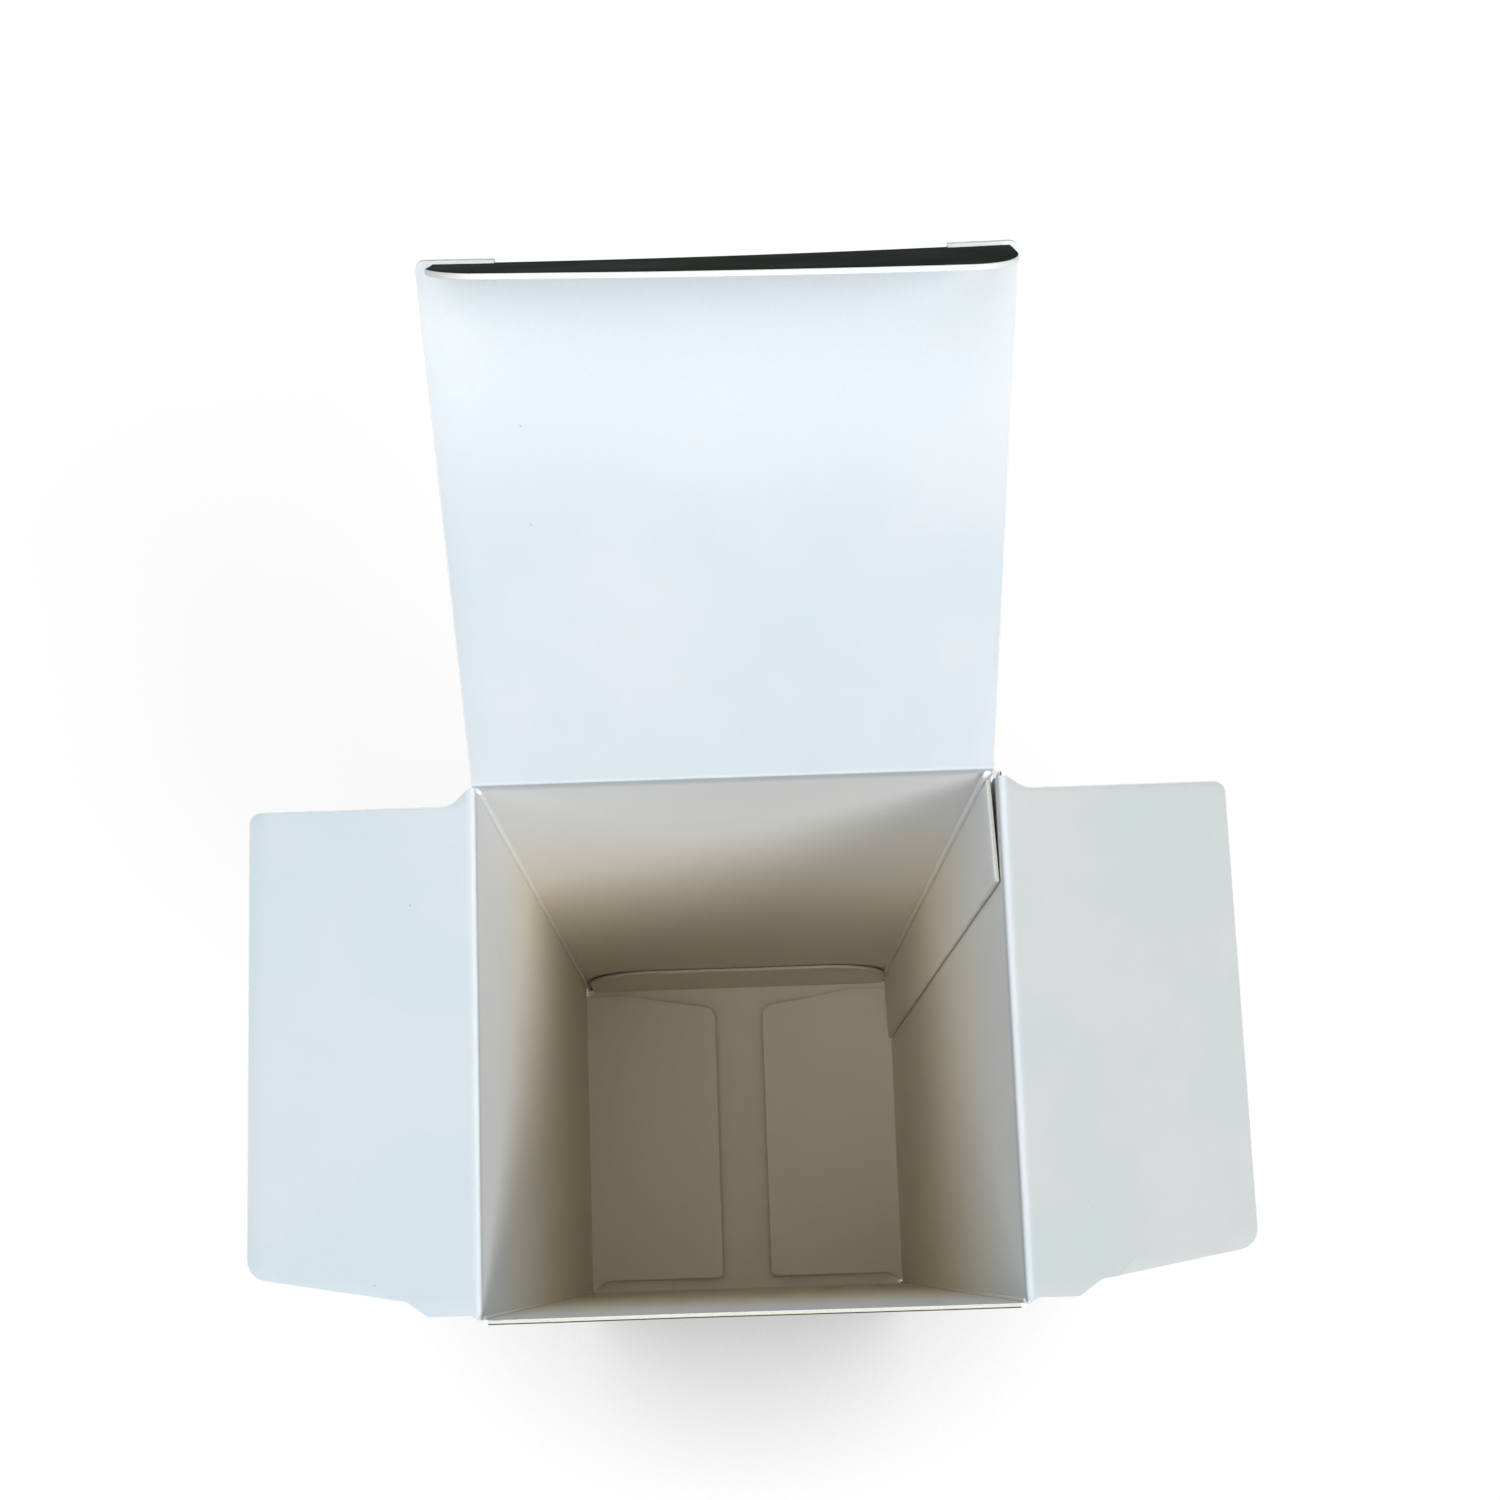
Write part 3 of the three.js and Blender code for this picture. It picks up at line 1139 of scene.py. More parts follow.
    def fade(self, x: float) -> float:
        """How strongly the score of an upright strip shows at one height: its rubbed print, and its
        painted highlight, whose dimming lower down is painted shade.

        Args:
            x: the height, along the strip's own X.

        Returns:
            1 at the opening and 0 far down, and always 1 on a strip that lies flat.
        """
        if not self.spans:
            return 1.0
        fresh, faded = self.fade_span
        return smooth((self.up * x - mm(faded)) / mm(fresh - faded))

    def dome(self, x: float) -> float:
        """The share of the roll's size at one height, rounded off towards the top."""
        below = min(1.0, max(0.0, (self.spans[1][1] - self.up * x) / mm(self.roll_end)))
        return math.sqrt(1 - (1 - below) ** 2)

    def hump(self, y: float, width_share: float = 1.0, shift: float = 0.0) -> float:
        """A bell across the strip, 1 on its middle line.

        Args:
            y: the distance from the strip's start.
            width_share: the bell's width, counted in widths of the bead.
            shift: how far the bell stands from the middle line.

        Returns:
            A share from 0 to 1.
        """
        off = (y - self.length / 2 - shift) / (mm(self.bead_width) * width_share)
        return math.exp(-off * off)

    def bead(self, piece: Piece) -> None:
        """Raises the bead on the white side and presses the groove into the print.

        Args:
            piece: the flat strip with its thickness.
        """
        beside = mm(self.bead_width) * self.side_groove_place
        Bench.edit(piece)
        for row in range(1, self.rows):
            y = self.length * row / self.rows
            grooves = [self.hump(y, self.side_groove_width, shift) for shift in (beside, -beside)]
            rises = {
                1: self.bead_height * self.hump(y) - self.side_groove * sum(grooves),
                -1: self.groove_depth * self.hump(y, self.groove_width),
            }
            for side, rise in rises.items():
                Bench.pick_verts(
                    piece, lambda c, y=y, side=side: abs(c.y - y) < TINY and side * c.z > 0
                )
                bpy.ops.transform.translate(value=(0, 0, mm(rise)))
        bpy.ops.object.mode_set(mode="OBJECT")

    def roughen(self, piece: Piece) -> None:
        """Makes the bead slightly uneven along its length.

        Args:
            piece: the beaded strip.
        """
        Bench.press(
            piece, self.grain_height, lambda co: self.hump(co.y, self.grain_width) ** 2, self.place,
            grain=self.grain,
        )

    def route(self, y: float) -> tuple[float, Vector]:
        """Where one row of the flat strip goes as the strip bends.

        Args:
            y: the row's distance from the strip's start.

        Returns:
            How far the row turns, and its place in the strip's own axes.
        """
        whole = abs(self.angle)
        turn = min(whole, max(0.0, (y - self.straight) / self.radius))
        beyond = max(0.0, y - self.straight - self.radius * whole)
        along = min(y, self.straight) + self.radius * math.sin(turn) + beyond * math.cos(turn)
        rise = self.radius * (1 - math.cos(turn)) + beyond * math.sin(turn)
        sign = math.copysign(1, self.angle)
        return sign * turn, Vector((0, along, sign * rise))

    def roll_shift(self, y: float) -> Vector:
        """How far the white side moves at one row to lie on the roll.

        Args:
            y: the row's distance from the strip's start.

        Returns:
            The shift in the strip's own axes, nothing beside the roll.
        """
        bar = mm(self.roll)
        half = abs(self.angle) / 2
        tangent = (self.radius - self.board / 2) * math.tan(half)
        spread = self.radius * half + self.roll_spread * bar - tangent
        share = (y - self.length / 2) / spread
        if bar == 0 or abs(share) > 1:
            return Vector()
        inward = Vector((0, -math.sin(half), math.cos(half)))
        along = Vector((0, math.cos(half), math.sin(half)))
        centre = Vector((0, self.reach, 0)) + inward * (self.board / 2 + bar) / math.cos(half)
        around = share * math.radians(self.roll_wrap)
        on_roll = centre + (inward * math.cos(around) + along * math.sin(around)) * bar
        turn, there = self.route(y)
        shift = on_roll - there - Vector((0, -math.sin(turn), math.cos(turn))) * self.board / 2
        return shift * smooth((1 - abs(share)) / self.roll_blend)

    def curve(self, piece: Piece) -> None:
        """Bends the strip one row at a time, and rolls its bead up.

        Args:
            piece: the beaded strip.
        """
        step = self.length / self.rows
        lines: list[set[int]] = [set() for _ in range(self.rows + 1)]
        for vertex in piece.data.vertices:
            lines[round(vertex.co.y / step)].add(vertex.index)
        white: dict[float, set[int]] = {}
        for vertex in piece.data.vertices:
            if vertex.co.z > 0:
                size = round(self.dome(vertex.co.x), 2) if self.roll != 0 else 1.0
                white.setdefault(size, set()).add(vertex.index)
        Bench.edit(piece)
        for row, line in enumerate(lines[1:], start=1):
            y = step * row
            turn, there = self.route(y)
            Bench.pick_numbers(piece, line)
            bpy.ops.transform.rotate(value=-turn, orient_axis="X", center_override=(0, y, 0))
            bpy.ops.transform.translate(value=there - Vector((0, y, 0)))
            shift = self.roll_shift(y)
            if shift.length == 0:
                continue
            for size, members in white.items():
                Bench.pick_numbers(piece, line & members)
                bpy.ops.transform.translate(value=shift * size)
        bpy.ops.object.mode_set(mode="OBJECT")

    def attach(self, piece: Piece) -> None:
        """Rides the strip on one body, or leaves it fixed where it lies between two.

        Args:
            piece: the finished strip.
        """
        if len(self.bodies) == 1:
            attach(piece, self.bodies[0])
            return
        opening = self.to_first.angle(self.to_second)
        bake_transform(piece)


def outward_of(node: str, at: Vector, along: Vector, same: float = 0.01) -> Vector:
    """The direction in which a flap leaves its score, square to the score.

    Args:
        node: the flap's construction node.
        at: a point on the score.
        along: the score's direction.
        same: millimetres within which points count as equally far.

    Returns:
        A unit vector along the middle of the flap's board.
    """
    arms = []
    for vertex in frame["nodes"][node].data.vertices:
        arm = vertex.co - at
        arms.append(arm - along * arm.dot(along))
    longest = max(arm.length for arm in arms)
    far = [arm.normalized() for arm in arms if arm.length > longest - mm(same)]
    return sum(far, Vector()).normalized()


@dataclass
class Tube:
    """The four walls, their bent corners, the glue flap and the glue."""

    finishes: Finishes
    bent_reach: float = 0.475
    corner_side: float = 0.4
    bend_top: float = 148.45
    back_bend_foot: float = 0.95
    glue_bend_top: float = 148.7
    corner_radius: float = 0.4
    front_roll: float = 0.17
    back_roll: float = 0.27
    corner_grain: float = 0.12
    corner_bead: float = 0.24
    corner_column: float = 1.2
    right_overrun: float = 0.6
    board_end: float = 0.05

    def wall(self, side: str, inward: Vector, rolled: Sequence[Side], joined: Sequence[Side]) -> Panel:
        """One wall as a panel standing on the plane through its middle.

        Args:
            side: front, back, left or right.
            inward: the direction towards the inside.
            rolled: the sides that go on as bent corners of the tube.
            joined: the sides that go on as other folds.

        Returns:
            The panel, not yet built.
        """
        low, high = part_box(f"{side}_wall")
        middle = (low + high) / 2
        foot = Vector((middle.x, middle.y, 0))
        return Panel(
            name=f"{side}_wall_board", node=f"{side}_wall", body="tube",
            place=axes(foot, UP, inward), finishes=self.finishes, joined=(*rolled, *joined),
            rolled=rolled, inset=self.corner_side, curl=Curl(unevenness=0.07),
            overrun=self.right_overrun if side == "right" else 0.0,
        )

    def build_walls(self) -> None:
        """Builds the walls."""
        sides = (Side.LEFT, Side.RIGHT)
        ends = (Side.NEAR, Side.FAR)
        self.wall("front", BACK, sides, (Side.NEAR,)).build()
        self.wall("back", -BACK, sides, (Side.FAR,)).build()
        self.wall("left", RIGHT, sides, ends).build()
        self.wall("right", -RIGHT, (Side.RIGHT,), ends).build()

    def upright_fold(
        self, node: str, at: Vector, directions: tuple[Vector, Vector, Vector], reach: float,
        spans: Sequence[Pair], roll: float, wear_and_highlight: float = 1.0,
    ) -> None:
        """Builds one upright fold of the tube.

        Args:
            node: the construction node.
            at: where the middle layers of the two boards would meet.
            directions: to the first board, to the second one, and of the first one's white side.
            reach: how far the bend takes up each board.
            spans: foot and top of the first side, of the bend and of the second side.
            roll: radius of the rolled bead in millimetres.
            wear_and_highlight: how bare the scored board is on its print side, and how bright its
                painted highlight is on the white side.
        """
        Fold(
            node.replace("crease", "fold"), node, at, *directions, reach + mm(self.corner_side),
            self.finishes, ("tube",), bend_radius=self.corner_radius, bead_height=0.0,
            bead_width=self.corner_bead, side_groove=0.0, roll=roll, side=self.corner_side,
            spans=spans, wear_and_highlight=wear_and_highlight, column=self.corner_column, grain_height=self.corner_grain,
        ).build()

    def corner(self, front: str, side: str, x: float, y: float, inner: Vector) -> None:
        """Builds one bent corner, from the front or back wall to a side wall.

        Args:
            front: front or back.
            side: left or right.
            x: where the middle layers of the two walls would meet.
            y: the same, in Y.
            inner: the direction that the front or back wall's white side faces.
        """
        node = f"{front}_{side}_crease"
        boxes = [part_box(name) for name in (f"{front}_wall", node, f"{side}_wall")]
        spans = [(low.z, high.z) for low, high in boxes]
        foot = spans[1][0] if front == "front" else mm(self.back_bend_foot)
        spans[1] = (foot, mm(self.bend_top))
        self.upright_fold(
            node, Vector((x, y, 0)), (Vector((-math.copysign(1, x), 0, 0)), inner, inner),
            mm(self.bent_reach), spans, self.front_roll if front == "front" else self.back_roll,
        )

    def build_corners(self) -> None:
        """Builds the three bent corners of the tube."""
        front_low, front_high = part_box("front_wall")
        left_low, left_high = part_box("left_wall")
        front = (front_low.y + front_high.y) / 2
        side = (left_low.x + left_high.x) / 2
        self.corner("front", "left", side, front, BACK)
        self.corner("front", "right", -side, front, BACK)
        self.corner("back", "left", side, -front, -BACK)

    def build_glue_flap(self) -> None:
        """Builds the glue flap, its bent corner and the glue."""
        low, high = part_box("glue_flap_crease")
        wall_low, wall_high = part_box("back_wall")
        board = wall_high.y - wall_low.y
        centre = Vector((low.x, high.y - (high.x - low.x), 0))
        middle_radius = (high.x - low.x) - board / 2
        points = [v.co for v in frame["nodes"]["glue_flap"].data.vertices]
        front = min(p.y for p in points) + mm(self.board_end)
        ends = [p for p in points if p.y < front]
        free = sum(ends, Vector()) / len(ends)
        starts = [p for p in points if p.y > centre.y - mm(self.board_end)]
        root = sum(starts, Vector()) / len(starts)
        along = Vector((free.x - root.x, free.y - root.y, 0)).normalized()
        inner = Vector((along.y, -along.x, 0))
        place = axes(Vector((root.x, root.y, 0)), along, inner)
        Panel(
            name="glue_flap_board", node="glue_flap", body="tube", place=place,
            finishes=self.finishes, joined=(Side.NEAR,), rolled=(Side.NEAR,),
            inset=self.corner_side, edge_ply=0.2, curl=Curl(unevenness=0.02),
        ).build()
        turn = RIGHT.angle(along)
        reach = middle_radius * math.tan(turn / 2)
        at = Vector((centre.x + reach, wall_high.y - board / 2, 0))
        bend = (mm(self.back_bend_foot), mm(self.glue_bend_top))
        self.upright_fold(
            "glue_flap_crease", at, (-RIGHT, along, -BACK), reach,
            ((wall_low.z, wall_high.z), bend, (low.z, high.z)), self.back_roll, wear_and_highlight=0.8,
        )
        glue = frame["nodes"]["glue_seam"]
        glue.data.materials.clear()
        glue.data.materials.append(self.finishes.glue)

    def build(self) -> None:
        """Builds the whole tube."""
        self.build_walls()
        self.build_corners()
        self.build_glue_flap()


@dataclass
class Closure:
    """A closure panel with its tuck flap and their two folds.

    The lid hinges on the back wall and has a slit lock, and the bottom hinges on the front wall.
    """

    finishes: Finishes
    part: str
    locked: bool
    corner_radius: float = 0.8
    slit_drop: float = 1.35
    tuck_radius: float = 10.0
    tuck_edge: float = 0.9
    foot_inset: float = 0.4
    tuck_side_inset: float = 0.0
    tuck_taper: float = 0.0
    hinge_rise: float = 0.03
    # How much the hinge's score shows: rubbed print outside, and a painted highlight on the white
    # side.
    hinge_wear_and_highlight: float = 0.25
    tuck_curl: Curl = field(default_factory=Curl)
    panel_curl: Curl = field(default_factory=Curl)
    belly: float = 0.0
    wings: float = 0.0
    panel_cell: float = 2.5
    tuck_cell: float = 1.6
    hinge_bead: float = 0.12
    hinge_grain: float = 0.02
    beyond: float = 1.0

    def __post_init__(self) -> None:
        """Finds the scores, the directions of both flaps and the panel's place and extent."""
        self.at = joint_place(f"{self.part}_fold")
        self.tuck_at = joint_place(f"{self.part}_tuck_fold")
        reach = self.tuck_at - self.at
        self.length = reach.length
        self.outward = reach.normalized()
        self.inner = RIGHT.cross(self.outward) if self.locked else UP
        self.place = axes(self.at, self.outward, self.inner)
        self.low, self.high = node_extent(f"{self.part}_panel", self.place)
        self.tuck_outward = outward_of(f"{self.part}_tuck_flap", self.tuck_at, RIGHT)

    def build(self) -> None:
        """Builds the panel, the tuck flap and the two folds."""
        self.build_panel()
        self.build_tuck()
        low, high = self.low, self.high
        sign = -1 if self.locked else 1
        Fold(
            name=f"{self.part}_fold", node=f"{self.part}_crease", at=self.at, to_first=sign * UP,
            to_second=self.outward, first_inner=sign * BACK, reach=low.y,
            finishes=self.finishes, bodies=("tube", self.part), side_groove=0.0,
            bead_height=self.hinge_rise, bead_width=self.hinge_bead, wear_and_highlight=self.hinge_wear_and_highlight,
            grain_height=self.hinge_grain, widest=(low.x, high.x),
        ).build()
        inset = mm(self.foot_inset)
        Fold(
            name=f"{self.part}_tuck_fold", node=f"{self.part}_tuck_crease", at=self.tuck_at,
            to_first=-self.outward, to_second=self.tuck_outward, first_inner=self.inner,
            reach=low.y, finishes=self.finishes, bodies=(self.part, f"{self.part}_tuck"),
            flex=self.flex, widest=None if self.locked else (low.x + inset, high.x - inset),
        ).build()

    def flex(self, piece: Piece) -> None:
        """Bends the far end of the closure: its middle inwards and its ends outwards.

        Args:
            piece: a panel, flap or fold of the closure, in its place.
        """
        if self.belly == 0 and self.wings == 0:
            return
        middle, half = (self.low.x + self.high.x) / 2, (self.high.x - self.low.x) / 2

        def out(co: Vector) -> float:
            """How far a place has bent away, as on a held strip with a load at its end."""
            share = min(1.0, max(0.0, co.y / self.length))
            return share * share * (3 - share) / 2

        def aside(co: Vector) -> float:
            """0 on the middle line and 1 at both sides."""
            return min(1.0, abs(co.x - middle) / half) ** 2

        Bench.settle(piece, self.place.inverted())
        Bench.press(piece, self.belly, lambda co: out(co) * (1 - aside(co)))
        Bench.press(piece, -self.wings, lambda co: out(co) * aside(co))
        Bench.settle(piece, self.place)

    def build_panel(self) -> None:
        """Builds the closure panel."""
        low, high = self.low, self.high
        crease_low, crease_high = node_extent(f"{self.part}_tuck_crease", self.place)
        notches: list[Notch] = []
        rounds: list[Round] = []
        joined = [Side.NEAR]
        if self.locked:
            past = high.y + mm(self.beyond)
            notches.append(Notch(crease_low.x, crease_high.x, self.length - low.y, past))
            rounds += [Round(x, high.y, self.corner_radius) for x in (low.x, high.x)]
        else:
            joined.append(Side.FAR)
        Panel(
            name=f"{self.part}_panel_board", node=f"{self.part}_panel", body=self.part,
            place=self.place, finishes=self.finishes, notches=notches, rounds=rounds,
            joined=joined, curl=self.panel_curl, flex=self.flex, cell=self.panel_cell,
        ).build()

    def build_tuck(self) -> None:
        """Builds the tuck flap."""
        node = f"{self.part}_tuck_flap"
        place = axes(self.tuck_at, self.tuck_outward, RIGHT.cross(self.tuck_outward))
        low, high = node_extent(node, place)
        crease_low, crease_high = node_extent(f"{self.part}_tuck_crease", place)
        notches: list[Notch] = []
        trims: list[Trim] = []
        ends = [low.x, high.x]
        if self.locked:
            drop = mm(self.slit_drop)
            past = mm(self.beyond)
            for left, right in ((low.x - past, crease_low.x), (crease_high.x, high.x + past)):
                notches.append(Notch(left, right, low.y - past, drop))
            root = mm(self.tuck_side_inset)
            tip = root + (high.y - drop) * math.tan(math.radians(self.tuck_taper))
            ends = [low.x + tip, high.x - tip]
            trims.append(Trim((ends[0], high.y), (low.x + root, drop), low=drop))
            trims.append(Trim((high.x - root, drop), (ends[1], high.y), low=drop))
        Panel(
            name=f"{self.part}_tuck_board", node=node, body=f"{self.part}_tuck", place=place,
            finishes=self.finishes, trims=trims, notches=notches,
            rounds=[Round(x, high.y, self.tuck_radius) for x in ends],
            joined=(Side.NEAR,), curl=self.tuck_curl, flex=self.flex, even_edge=self.tuck_edge,
            cell=self.tuck_cell,
        ).build()


@dataclass
class DustFlap:
    """One dust flap and its fold.

    At the top its edge towards the tuck flap has a shoulder, and faces the front.
    """

    finishes: Finishes
    prefix: str
    outward: Vector
    at_top: bool
    shoulder_length: float = 4.6
    step_depth: float = 1.45
    step_run: float = 2.0
    taper: float = 10.0
    chamfer_run: float = 2.2
    back_inset: float = 2.2
    chamfer_radius: float = 2.0
    inner_radius: float = 1.1
    outer_radius: float = 2.0
    shoulder_radius: float = 0.6
    step_radius: float = 1.0
    even_edge: float | None = None
    curl: Curl = field(default_factory=Curl)
    cell: float = 1.8

    def build(self) -> None:
        """Builds the flap and its fold."""
        node = f"{self.prefix}_dust_flap"
        crease = f"{self.prefix}_dust_crease"
        at = joint_place(f"{self.prefix}_dust_fold")
        place = axes(at, self.outward, UP)
        low, high = node_extent(node, place)
        crease_low, crease_high = node_extent(crease, place)
        front_is_low = place.to_3x3().col[0].y > 0
        tuck_is_low = front_is_low == self.at_top
        sign = -1 if tuck_is_low else 1
        tuck_edge = low.x if tuck_is_low else high.x
        hinge_edge = crease_high.x if tuck_is_low else crease_low.x
        straight_edge = sign * (mm(self.back_inset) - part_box("back_wall")[1].y)
        stepped = tuck_edge - sign * mm(self.step_depth) if self.at_top else tuck_edge
        step_end = mm(self.shoulder_length + self.step_run)
        taper_end = stepped - sign * (high.y - step_end) * math.tan(math.radians(self.taper))
        flare = mm(self.chamfer_run)
        trims = [
            self.outline_cut(sign, (stepped, step_end), (taper_end, high.y), low=step_end),
            self.outline_cut(-sign, (hinge_edge, low.y), (straight_edge, flare), high=flare),
            self.outline_cut(-sign, (straight_edge, flare), (straight_edge, high.y), low=flare),
        ]
        rounds = [
            Round(straight_edge, high.y, self.inner_radius),
            Round(straight_edge, flare, self.chamfer_radius),
            Round(taper_end, high.y, self.outer_radius),
        ]
        if self.at_top:
            shoulder = mm(self.shoulder_length)
            trims.append(self.outline_cut(
                sign, (tuck_edge, shoulder), (stepped, step_end), low=shoulder, high=step_end,
            ))
            rounds.append(Round(tuck_edge, shoulder, self.shoulder_radius))
            rounds.append(Round(stepped, step_end, self.step_radius))
        Panel(
            name=f"{self.prefix}_dust_board", node=node, body=f"{self.prefix}_dust", place=place,
            finishes=self.finishes, trims=trims, rounds=rounds, joined=(Side.NEAR,),
            curl=self.curl, even_edge=self.even_edge, cell=self.cell,
        ).build()
        side = -1 if self.at_top else 1
        Fold(
            name=f"{self.prefix}_dust_fold", node=crease, at=at, to_first=side * UP,
            to_second=self.outward, first_inner=side * self.outward, reach=low.y,
            finishes=self.finishes, bodies=("tube", f"{self.prefix}_dust"),
            widest=self.fold_ends(place, at) if self.at_top else None,
            oblique=self.at_top,
        ).build()

    def fold_ends(self, place: Matrix, at: Vector) -> Pair:
        """Ends of the fold in the flap's axes, which close the corners that the tube's bends leave.

        Args:
            place: the matrix from the flap's axes to the frame.
            at: a point on the score.

        Returns:
            The left and the right end.
        """
        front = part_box("front_wall")[1].y
        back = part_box("back_wall")[0].y if at.x < 0 else front
        ends = [(place.inverted() @ Vector((at.x, y, at.z))).x for y in (front, back)]
        return min(ends), max(ends)

    @staticmethod
    def outline_cut(
        sign: float, first: Pair, second: Pair,
        low: float = -math.inf, high: float = math.inf,
    ) -> Trim:
        """A trim that keeps the flap's middle, on whichever side the edge lies.

        Args:
            sign: 1 for an edge on the flap's right, -1 for one on its left.
            first: where the edge starts.
            second: where it ends.
            low: where the cut's reach along Y starts.
            high: where it ends.

        Returns:
            The trim.
        """
        if sign < 0:
            return Trim(second, first, low, high)
        return Trim(first, second, low, high)


@dataclass(frozen=True)
class Flake:
    """One torn flake: its root, the way it points and the way its white side faces."""

    root: Triple
    along: Triple
    inner: Triple
    length: float
    width: float
    lift: float
    ply: float = 0.9


@dataclass
class Fray:
    """Flakes of torn board, left in the tube's corners where the cuts and the scores meet."""

    finishes: Finishes
    thickness: float = 0.1
    columns: int = 4
    rows: int = 8
    taper: float = 0.8
    ragged: Pair = (0.8, 1.1)
    sway: Pair = (-0.3, 0.3)
    flakes: Sequence[Flake] = (
        Flake((-24.35, -24.66, 149.93), (1, -0.02, 0.03), (0, 0, 1), 1.6, 0.26, 0.12),
        Flake((24.20, -24.72, 149.60), (0.1, 0.9, 0.35), (0, -0.3, 1), 0.7, 0.26, 0.15, 0.0),
        Flake((24.60, -24.70, 149.40), (0.3, 0.9, 0.35), (0, -0.3, 1), 0.6, 0.24, 0.15, 0.0),
        Flake((24.32, 24.66, 148.80), (0.05, -1, -0.1), (0, 0, 1), 0.85, 0.44, 0.02, -0.56),
        Flake((24.12, 24.62, 149.00), (0.25, -1, -0.1), (0, 0, 1), 0.5, 0.3, 0.05, 0.1),
    )

    def build(self) -> None:
        """Tears all the flakes."""
        for number, flake in enumerate(self.flakes, start=1):
            self.tear(f"torn_flake_{number}", flake)

    def tear(self, name: str, flake: Flake) -> None:
        """Makes one flake, ragged and narrower towards its tip.

        Args:
            name: the piece's name.
            flake: its place and size.
        """
        along = Vector(flake.along).normalized()
        inner = Vector(flake.inner)
        inner = (inner - along * inner.dot(along)).normalized()
        half = mm(flake.width) / 2
        length = mm(flake.length)
        corner = Vector((half, length, 0))
        piece = Bench.grid(name, Vector((-half, 0, 0)), corner, self.columns, self.rows)
        for row in range(self.rows + 1):
            y = length * row / self.rows
            share = (1 - self.taper * (row / self.rows) ** 2) * random.uniform(*self.ragged)
            Bench.pick_verts(piece, lambda c, y=y: abs(c.y - y) < TINY)
            bpy.ops.transform.resize(value=(share, 1, 1), center_override=(0, y, 0))
            bpy.ops.transform.translate(value=(half * random.uniform(*self.sway), 0, 0))
        self.finishes.make_board(piece, mm(self.thickness), Layer.EDGE)
        Bench.note(piece, PLY, [flake.ply] * len(piece.data.vertices))
        Bench.press(piece, flake.lift, lambda co: max(0.0, co.y / length) ** 2)
        Bench.settle(piece, axes(Vector(flake.root) * MM, along, inner))
        Bench.note_place(piece)
        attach(piece, "tube")
        log.info("%s: %d faces", name, len(piece.data.polygons))


@dataclass(frozen=True)
class Lamp:
    """A soft lamp, far away.

    Its level is how bright a white face square to it gets, where 1 is white, and its softness is
    its width as seen from the object, in degrees.
    """

    name: str
    toward: Triple
    level: float
    softness: float
    tint: Triple

    def build(self) -> None:
        """Hangs the lamp in its direction from the object."""
        light = bpy.data.lights.new(self.name, "SUN")
        light.energy = self.level * math.pi
        light.angle = math.radians(self.softness)
        light.color = self.tint
        lamp = bpy.data.objects.new(self.name, light)
        bpy.context.scene.collection.objects.link(lamp)
        toward = Vector(self.toward)
        lamp.rotation_euler = toward.to_track_quat("Z", "Y").to_euler()
        lamp.location = toward.normalized()


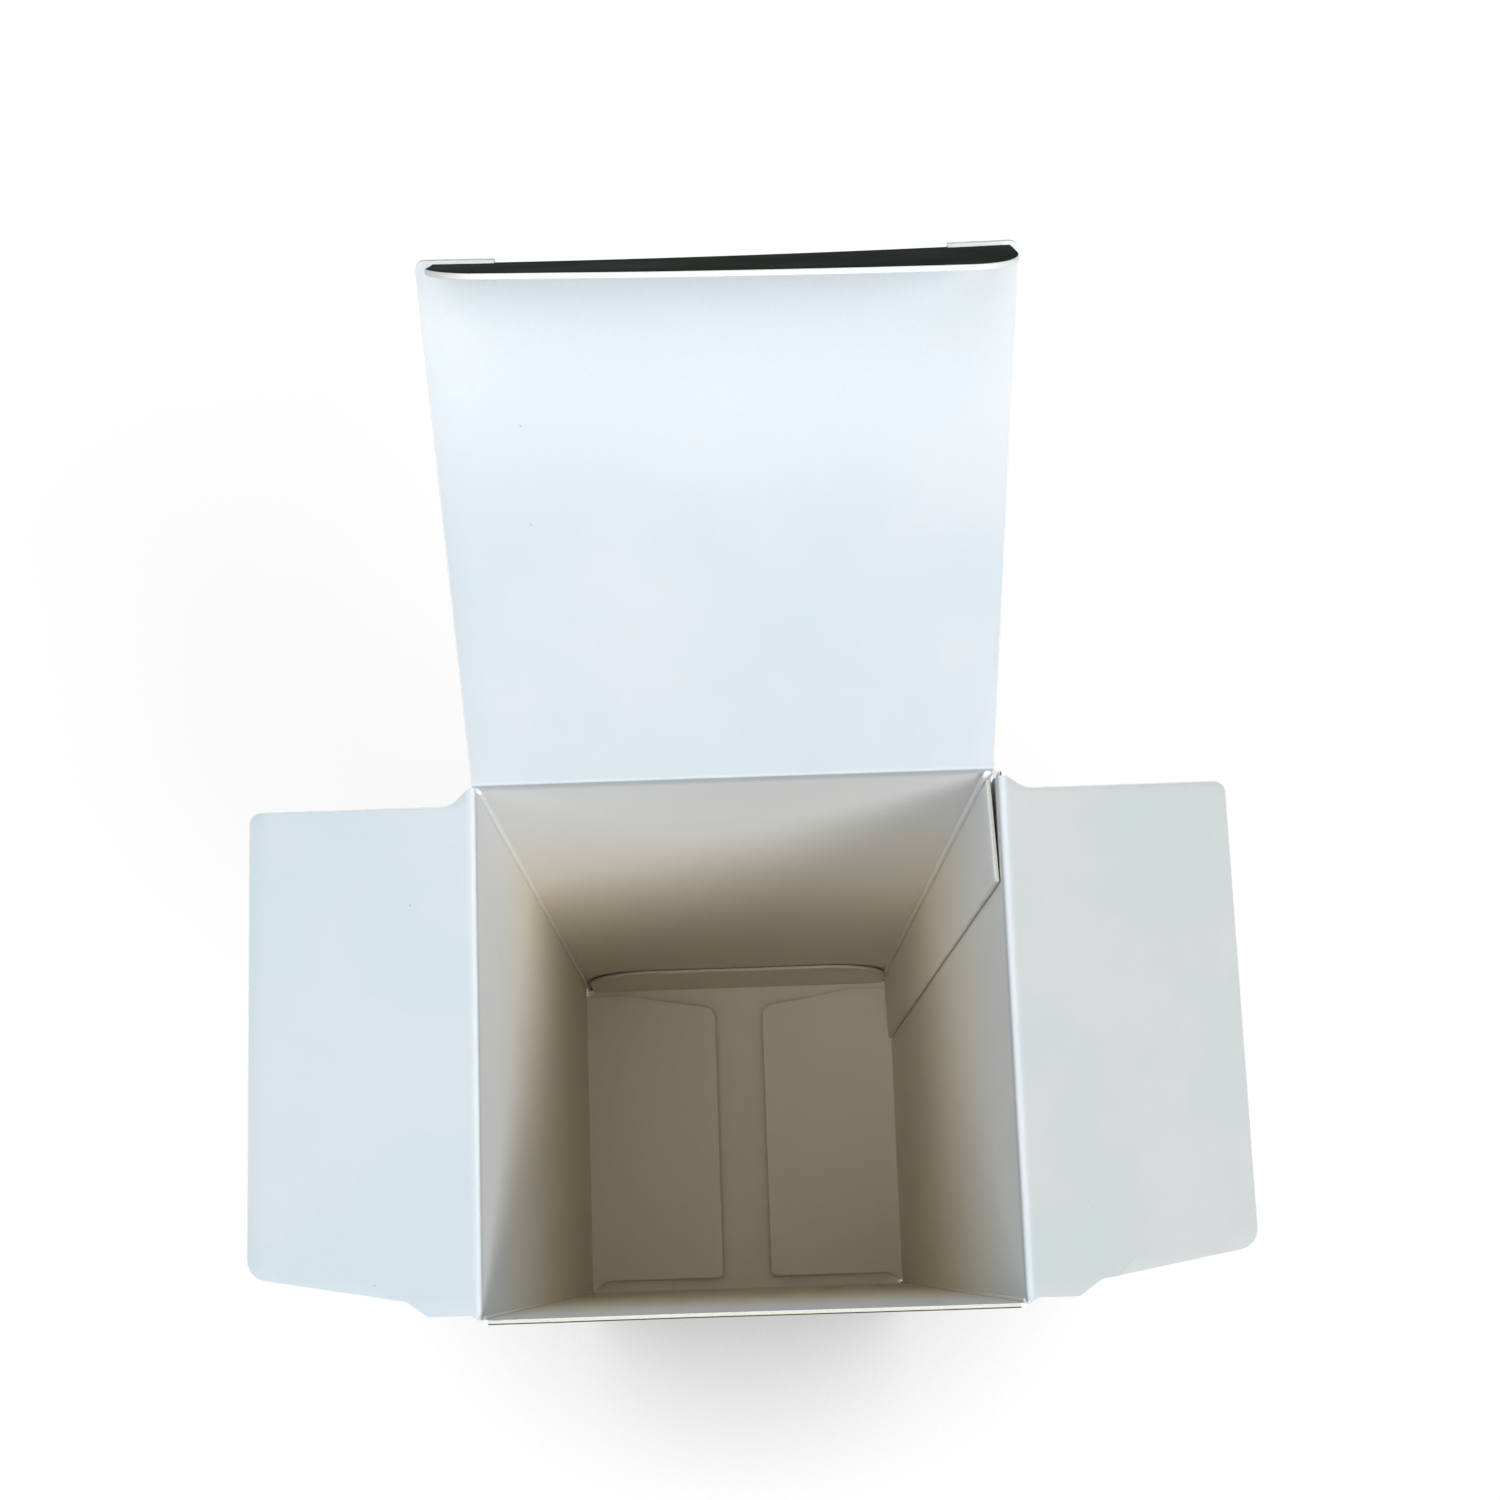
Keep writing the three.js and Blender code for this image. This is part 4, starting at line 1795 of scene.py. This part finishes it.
@dataclass
class Studio:
    """Floor, light and the camera of the photograph."""

    focal_pixels: float = 2121.5
    principal_x: float = 720.2
    principal_y: float = 894.5
    photo_side: float = 1500.0
    camera_place: Triple = (-1.2, -19.78, 343.75)
    camera_turn: Triple = (9.72, 0.51, -1.85)
    sensor: float = 36.0
    clip_start: float = 10.0
    floor_size: float = 3000.0
    floor_grey: float = 0.8
    floor_glow: float = 0.80
    floor_shade: float = 0.22
    contact_reach: float = 40.0
    contact_from: float = 0.2
    contact_samples: int = 8
    sky: float = 0.27
    lamps: Sequence[Lamp] = (
        Lamp("key_light", (0.44, -0.44, 0.78), 0.575, 28, (1.0, 0.99, 0.97)),
        Lamp("fill_light", (-0.3, -0.3, 0.91), 0.325, 40, (0.98, 0.99, 1.0)),
        Lamp("top_light", (0.0, 0.0, 1.0), 0.13, 30, (1.0, 0.98, 0.94)),
    )

    def build(self) -> None:
        """Sets the whole stage."""
        self.make_floor()
        self.make_world()
        for lamp in self.lamps:
            lamp.build()
        self.make_camera()
        bpy.context.scene.view_settings.view_transform = "Standard"

    def make_floor(self) -> None:
        """A pale floor that shows near white and keeps the object's shadow."""
        Bench.clear()
        bpy.ops.mesh.primitive_plane_add(size=mm(self.floor_size))
        floor = bpy.context.object
        floor.name = "studio_floor"
        material = bpy.data.materials.new("pale_floor")
        material.use_nodes = True
        nodes = Nodes(material.node_tree)
        nodes.tree.nodes.clear()
        plain, shaded = [
            nodes.add("ShaderNodeBsdfDiffuse", {"Color": (grey, grey, grey, 1)}).outputs[0]
            for grey in (self.floor_grey, self.floor_shade)
        ]
        # The glow fades by ambient occlusion near and under the carton: a painted contact shadow on
        # the floor.
        openness = nodes.add(
            "ShaderNodeAmbientOcclusion", {"Distance": mm(self.contact_reach)},
            samples=self.contact_samples,
        )
        level = nodes.add("ShaderNodeMapRange", {
            "Value": openness.outputs["AO"], "From Min": self.contact_from, "To Max": self.floor_glow,
        })
        glow = nodes.add("ShaderNodeEmission", {"Strength": level.outputs["Result"]}).outputs[0]
        shown = nodes.add("ShaderNodeAddShader", {0: shaded, 1: glow}).outputs[0]
        seen = nodes.add("ShaderNodeLightPath", {}).outputs["Is Camera Ray"]
        mixed = nodes.add("ShaderNodeMixShader", {0: seen, 1: plain, 2: shown}).outputs[0]
        nodes.add("ShaderNodeOutputMaterial", {"Surface": mixed})
        floor.data.materials.append(material)

    def make_world(self) -> None:
        """A soft even sky, white where the camera or a transmitted ray sees it."""
        world = bpy.data.worlds.new("studio_sky")
        bpy.context.scene.world = world
        world.use_nodes = True
        nodes = Nodes(world.node_tree)
        rays = nodes.add("ShaderNodeLightPath", {}).outputs
        seen = nodes.add(
            "ShaderNodeMath", {0: rays["Is Camera Ray"], 1: rays["Is Transmission Ray"]},
            operation="MAXIMUM",
        )
        level = nodes.add("ShaderNodeMapRange", {
            "Value": seen.outputs[0], "To Min": self.sky, "To Max": 1.0,
        })
        back = next(n for n in nodes.tree.nodes if n.type == "BACKGROUND")
        nodes.feed(back, {"Color": (1, 1, 1, 1), "Strength": level.outputs["Result"]})

    def make_camera(self) -> None:
        """Puts the camera where the photograph was taken from."""
        data = bpy.data.cameras.new("photo_camera")
        data.sensor_width = self.sensor
        data.lens = self.focal_pixels / self.photo_side * self.sensor
        data.shift_x = (self.photo_side / 2 - self.principal_x) / self.photo_side
        data.shift_y = (self.principal_y - self.photo_side / 2) / self.photo_side
        data.clip_start = mm(self.clip_start)
        camera = bpy.data.objects.new("photo_camera", data)
        bpy.context.scene.collection.objects.link(camera)
        camera.location = Vector(self.camera_place) * MM
        camera.rotation_euler = [math.radians(a) for a in self.camera_turn]
        bpy.context.scene.camera = camera


def build_top(finishes: Finishes) -> None:
    """Builds the lid and the two open dust flaps.

    Args:
        finishes: the carton's materials.
    """
    Closure(
        finishes, "lid", locked=True, tuck_side_inset=0.1, tuck_taper=3.0, belly=0.2, wings=0.45,
        tuck_curl=Curl(twist=0.35, unevenness=0.03), panel_curl=Curl(unevenness=0.06),
    ).build()
    for prefix, outward in (("left", -RIGHT), ("right", RIGHT)):
        DustFlap(finishes, prefix, outward, at_top=True, curl=Curl(unevenness=0.06)).build()


def build_bottom(finishes: Finishes) -> None:
    """Builds the bottom panel and the two closed dust flaps over it.

    Args:
        finishes: the carton's materials.
    """
    Closure(
        finishes, "bottom", locked=False, tuck_edge=-0.4, panel_curl=Curl(unevenness=0.03),
        tuck_curl=Curl(lift=-1.0, lift_power=1.2, unevenness=0.02),
    ).build()
    for prefix, outward in (("bottom_left", RIGHT), ("bottom_right", -RIGHT)):
        # Their raw edges go partly towards the ink's dark: painted shade along the edges where the
        # flaps lie over the bottom.
        DustFlap(
            finishes, prefix, outward, at_top=False, even_edge=-0.45,
            curl=Curl(lift=0.9, unevenness=0.03),
        ).build()


def main() -> None:
    """Builds the carton and the studio."""
    logging.basicConfig(level=logging.INFO, format="%(name)s: %(message)s")
    random.seed(SEED)
    finishes = Finishes()
    Tube(finishes).build()
    build_top(finishes)
    build_bottom(finishes)
    Fray(finishes).build()
    Studio().build()


if __name__ == "__main__":
    main()
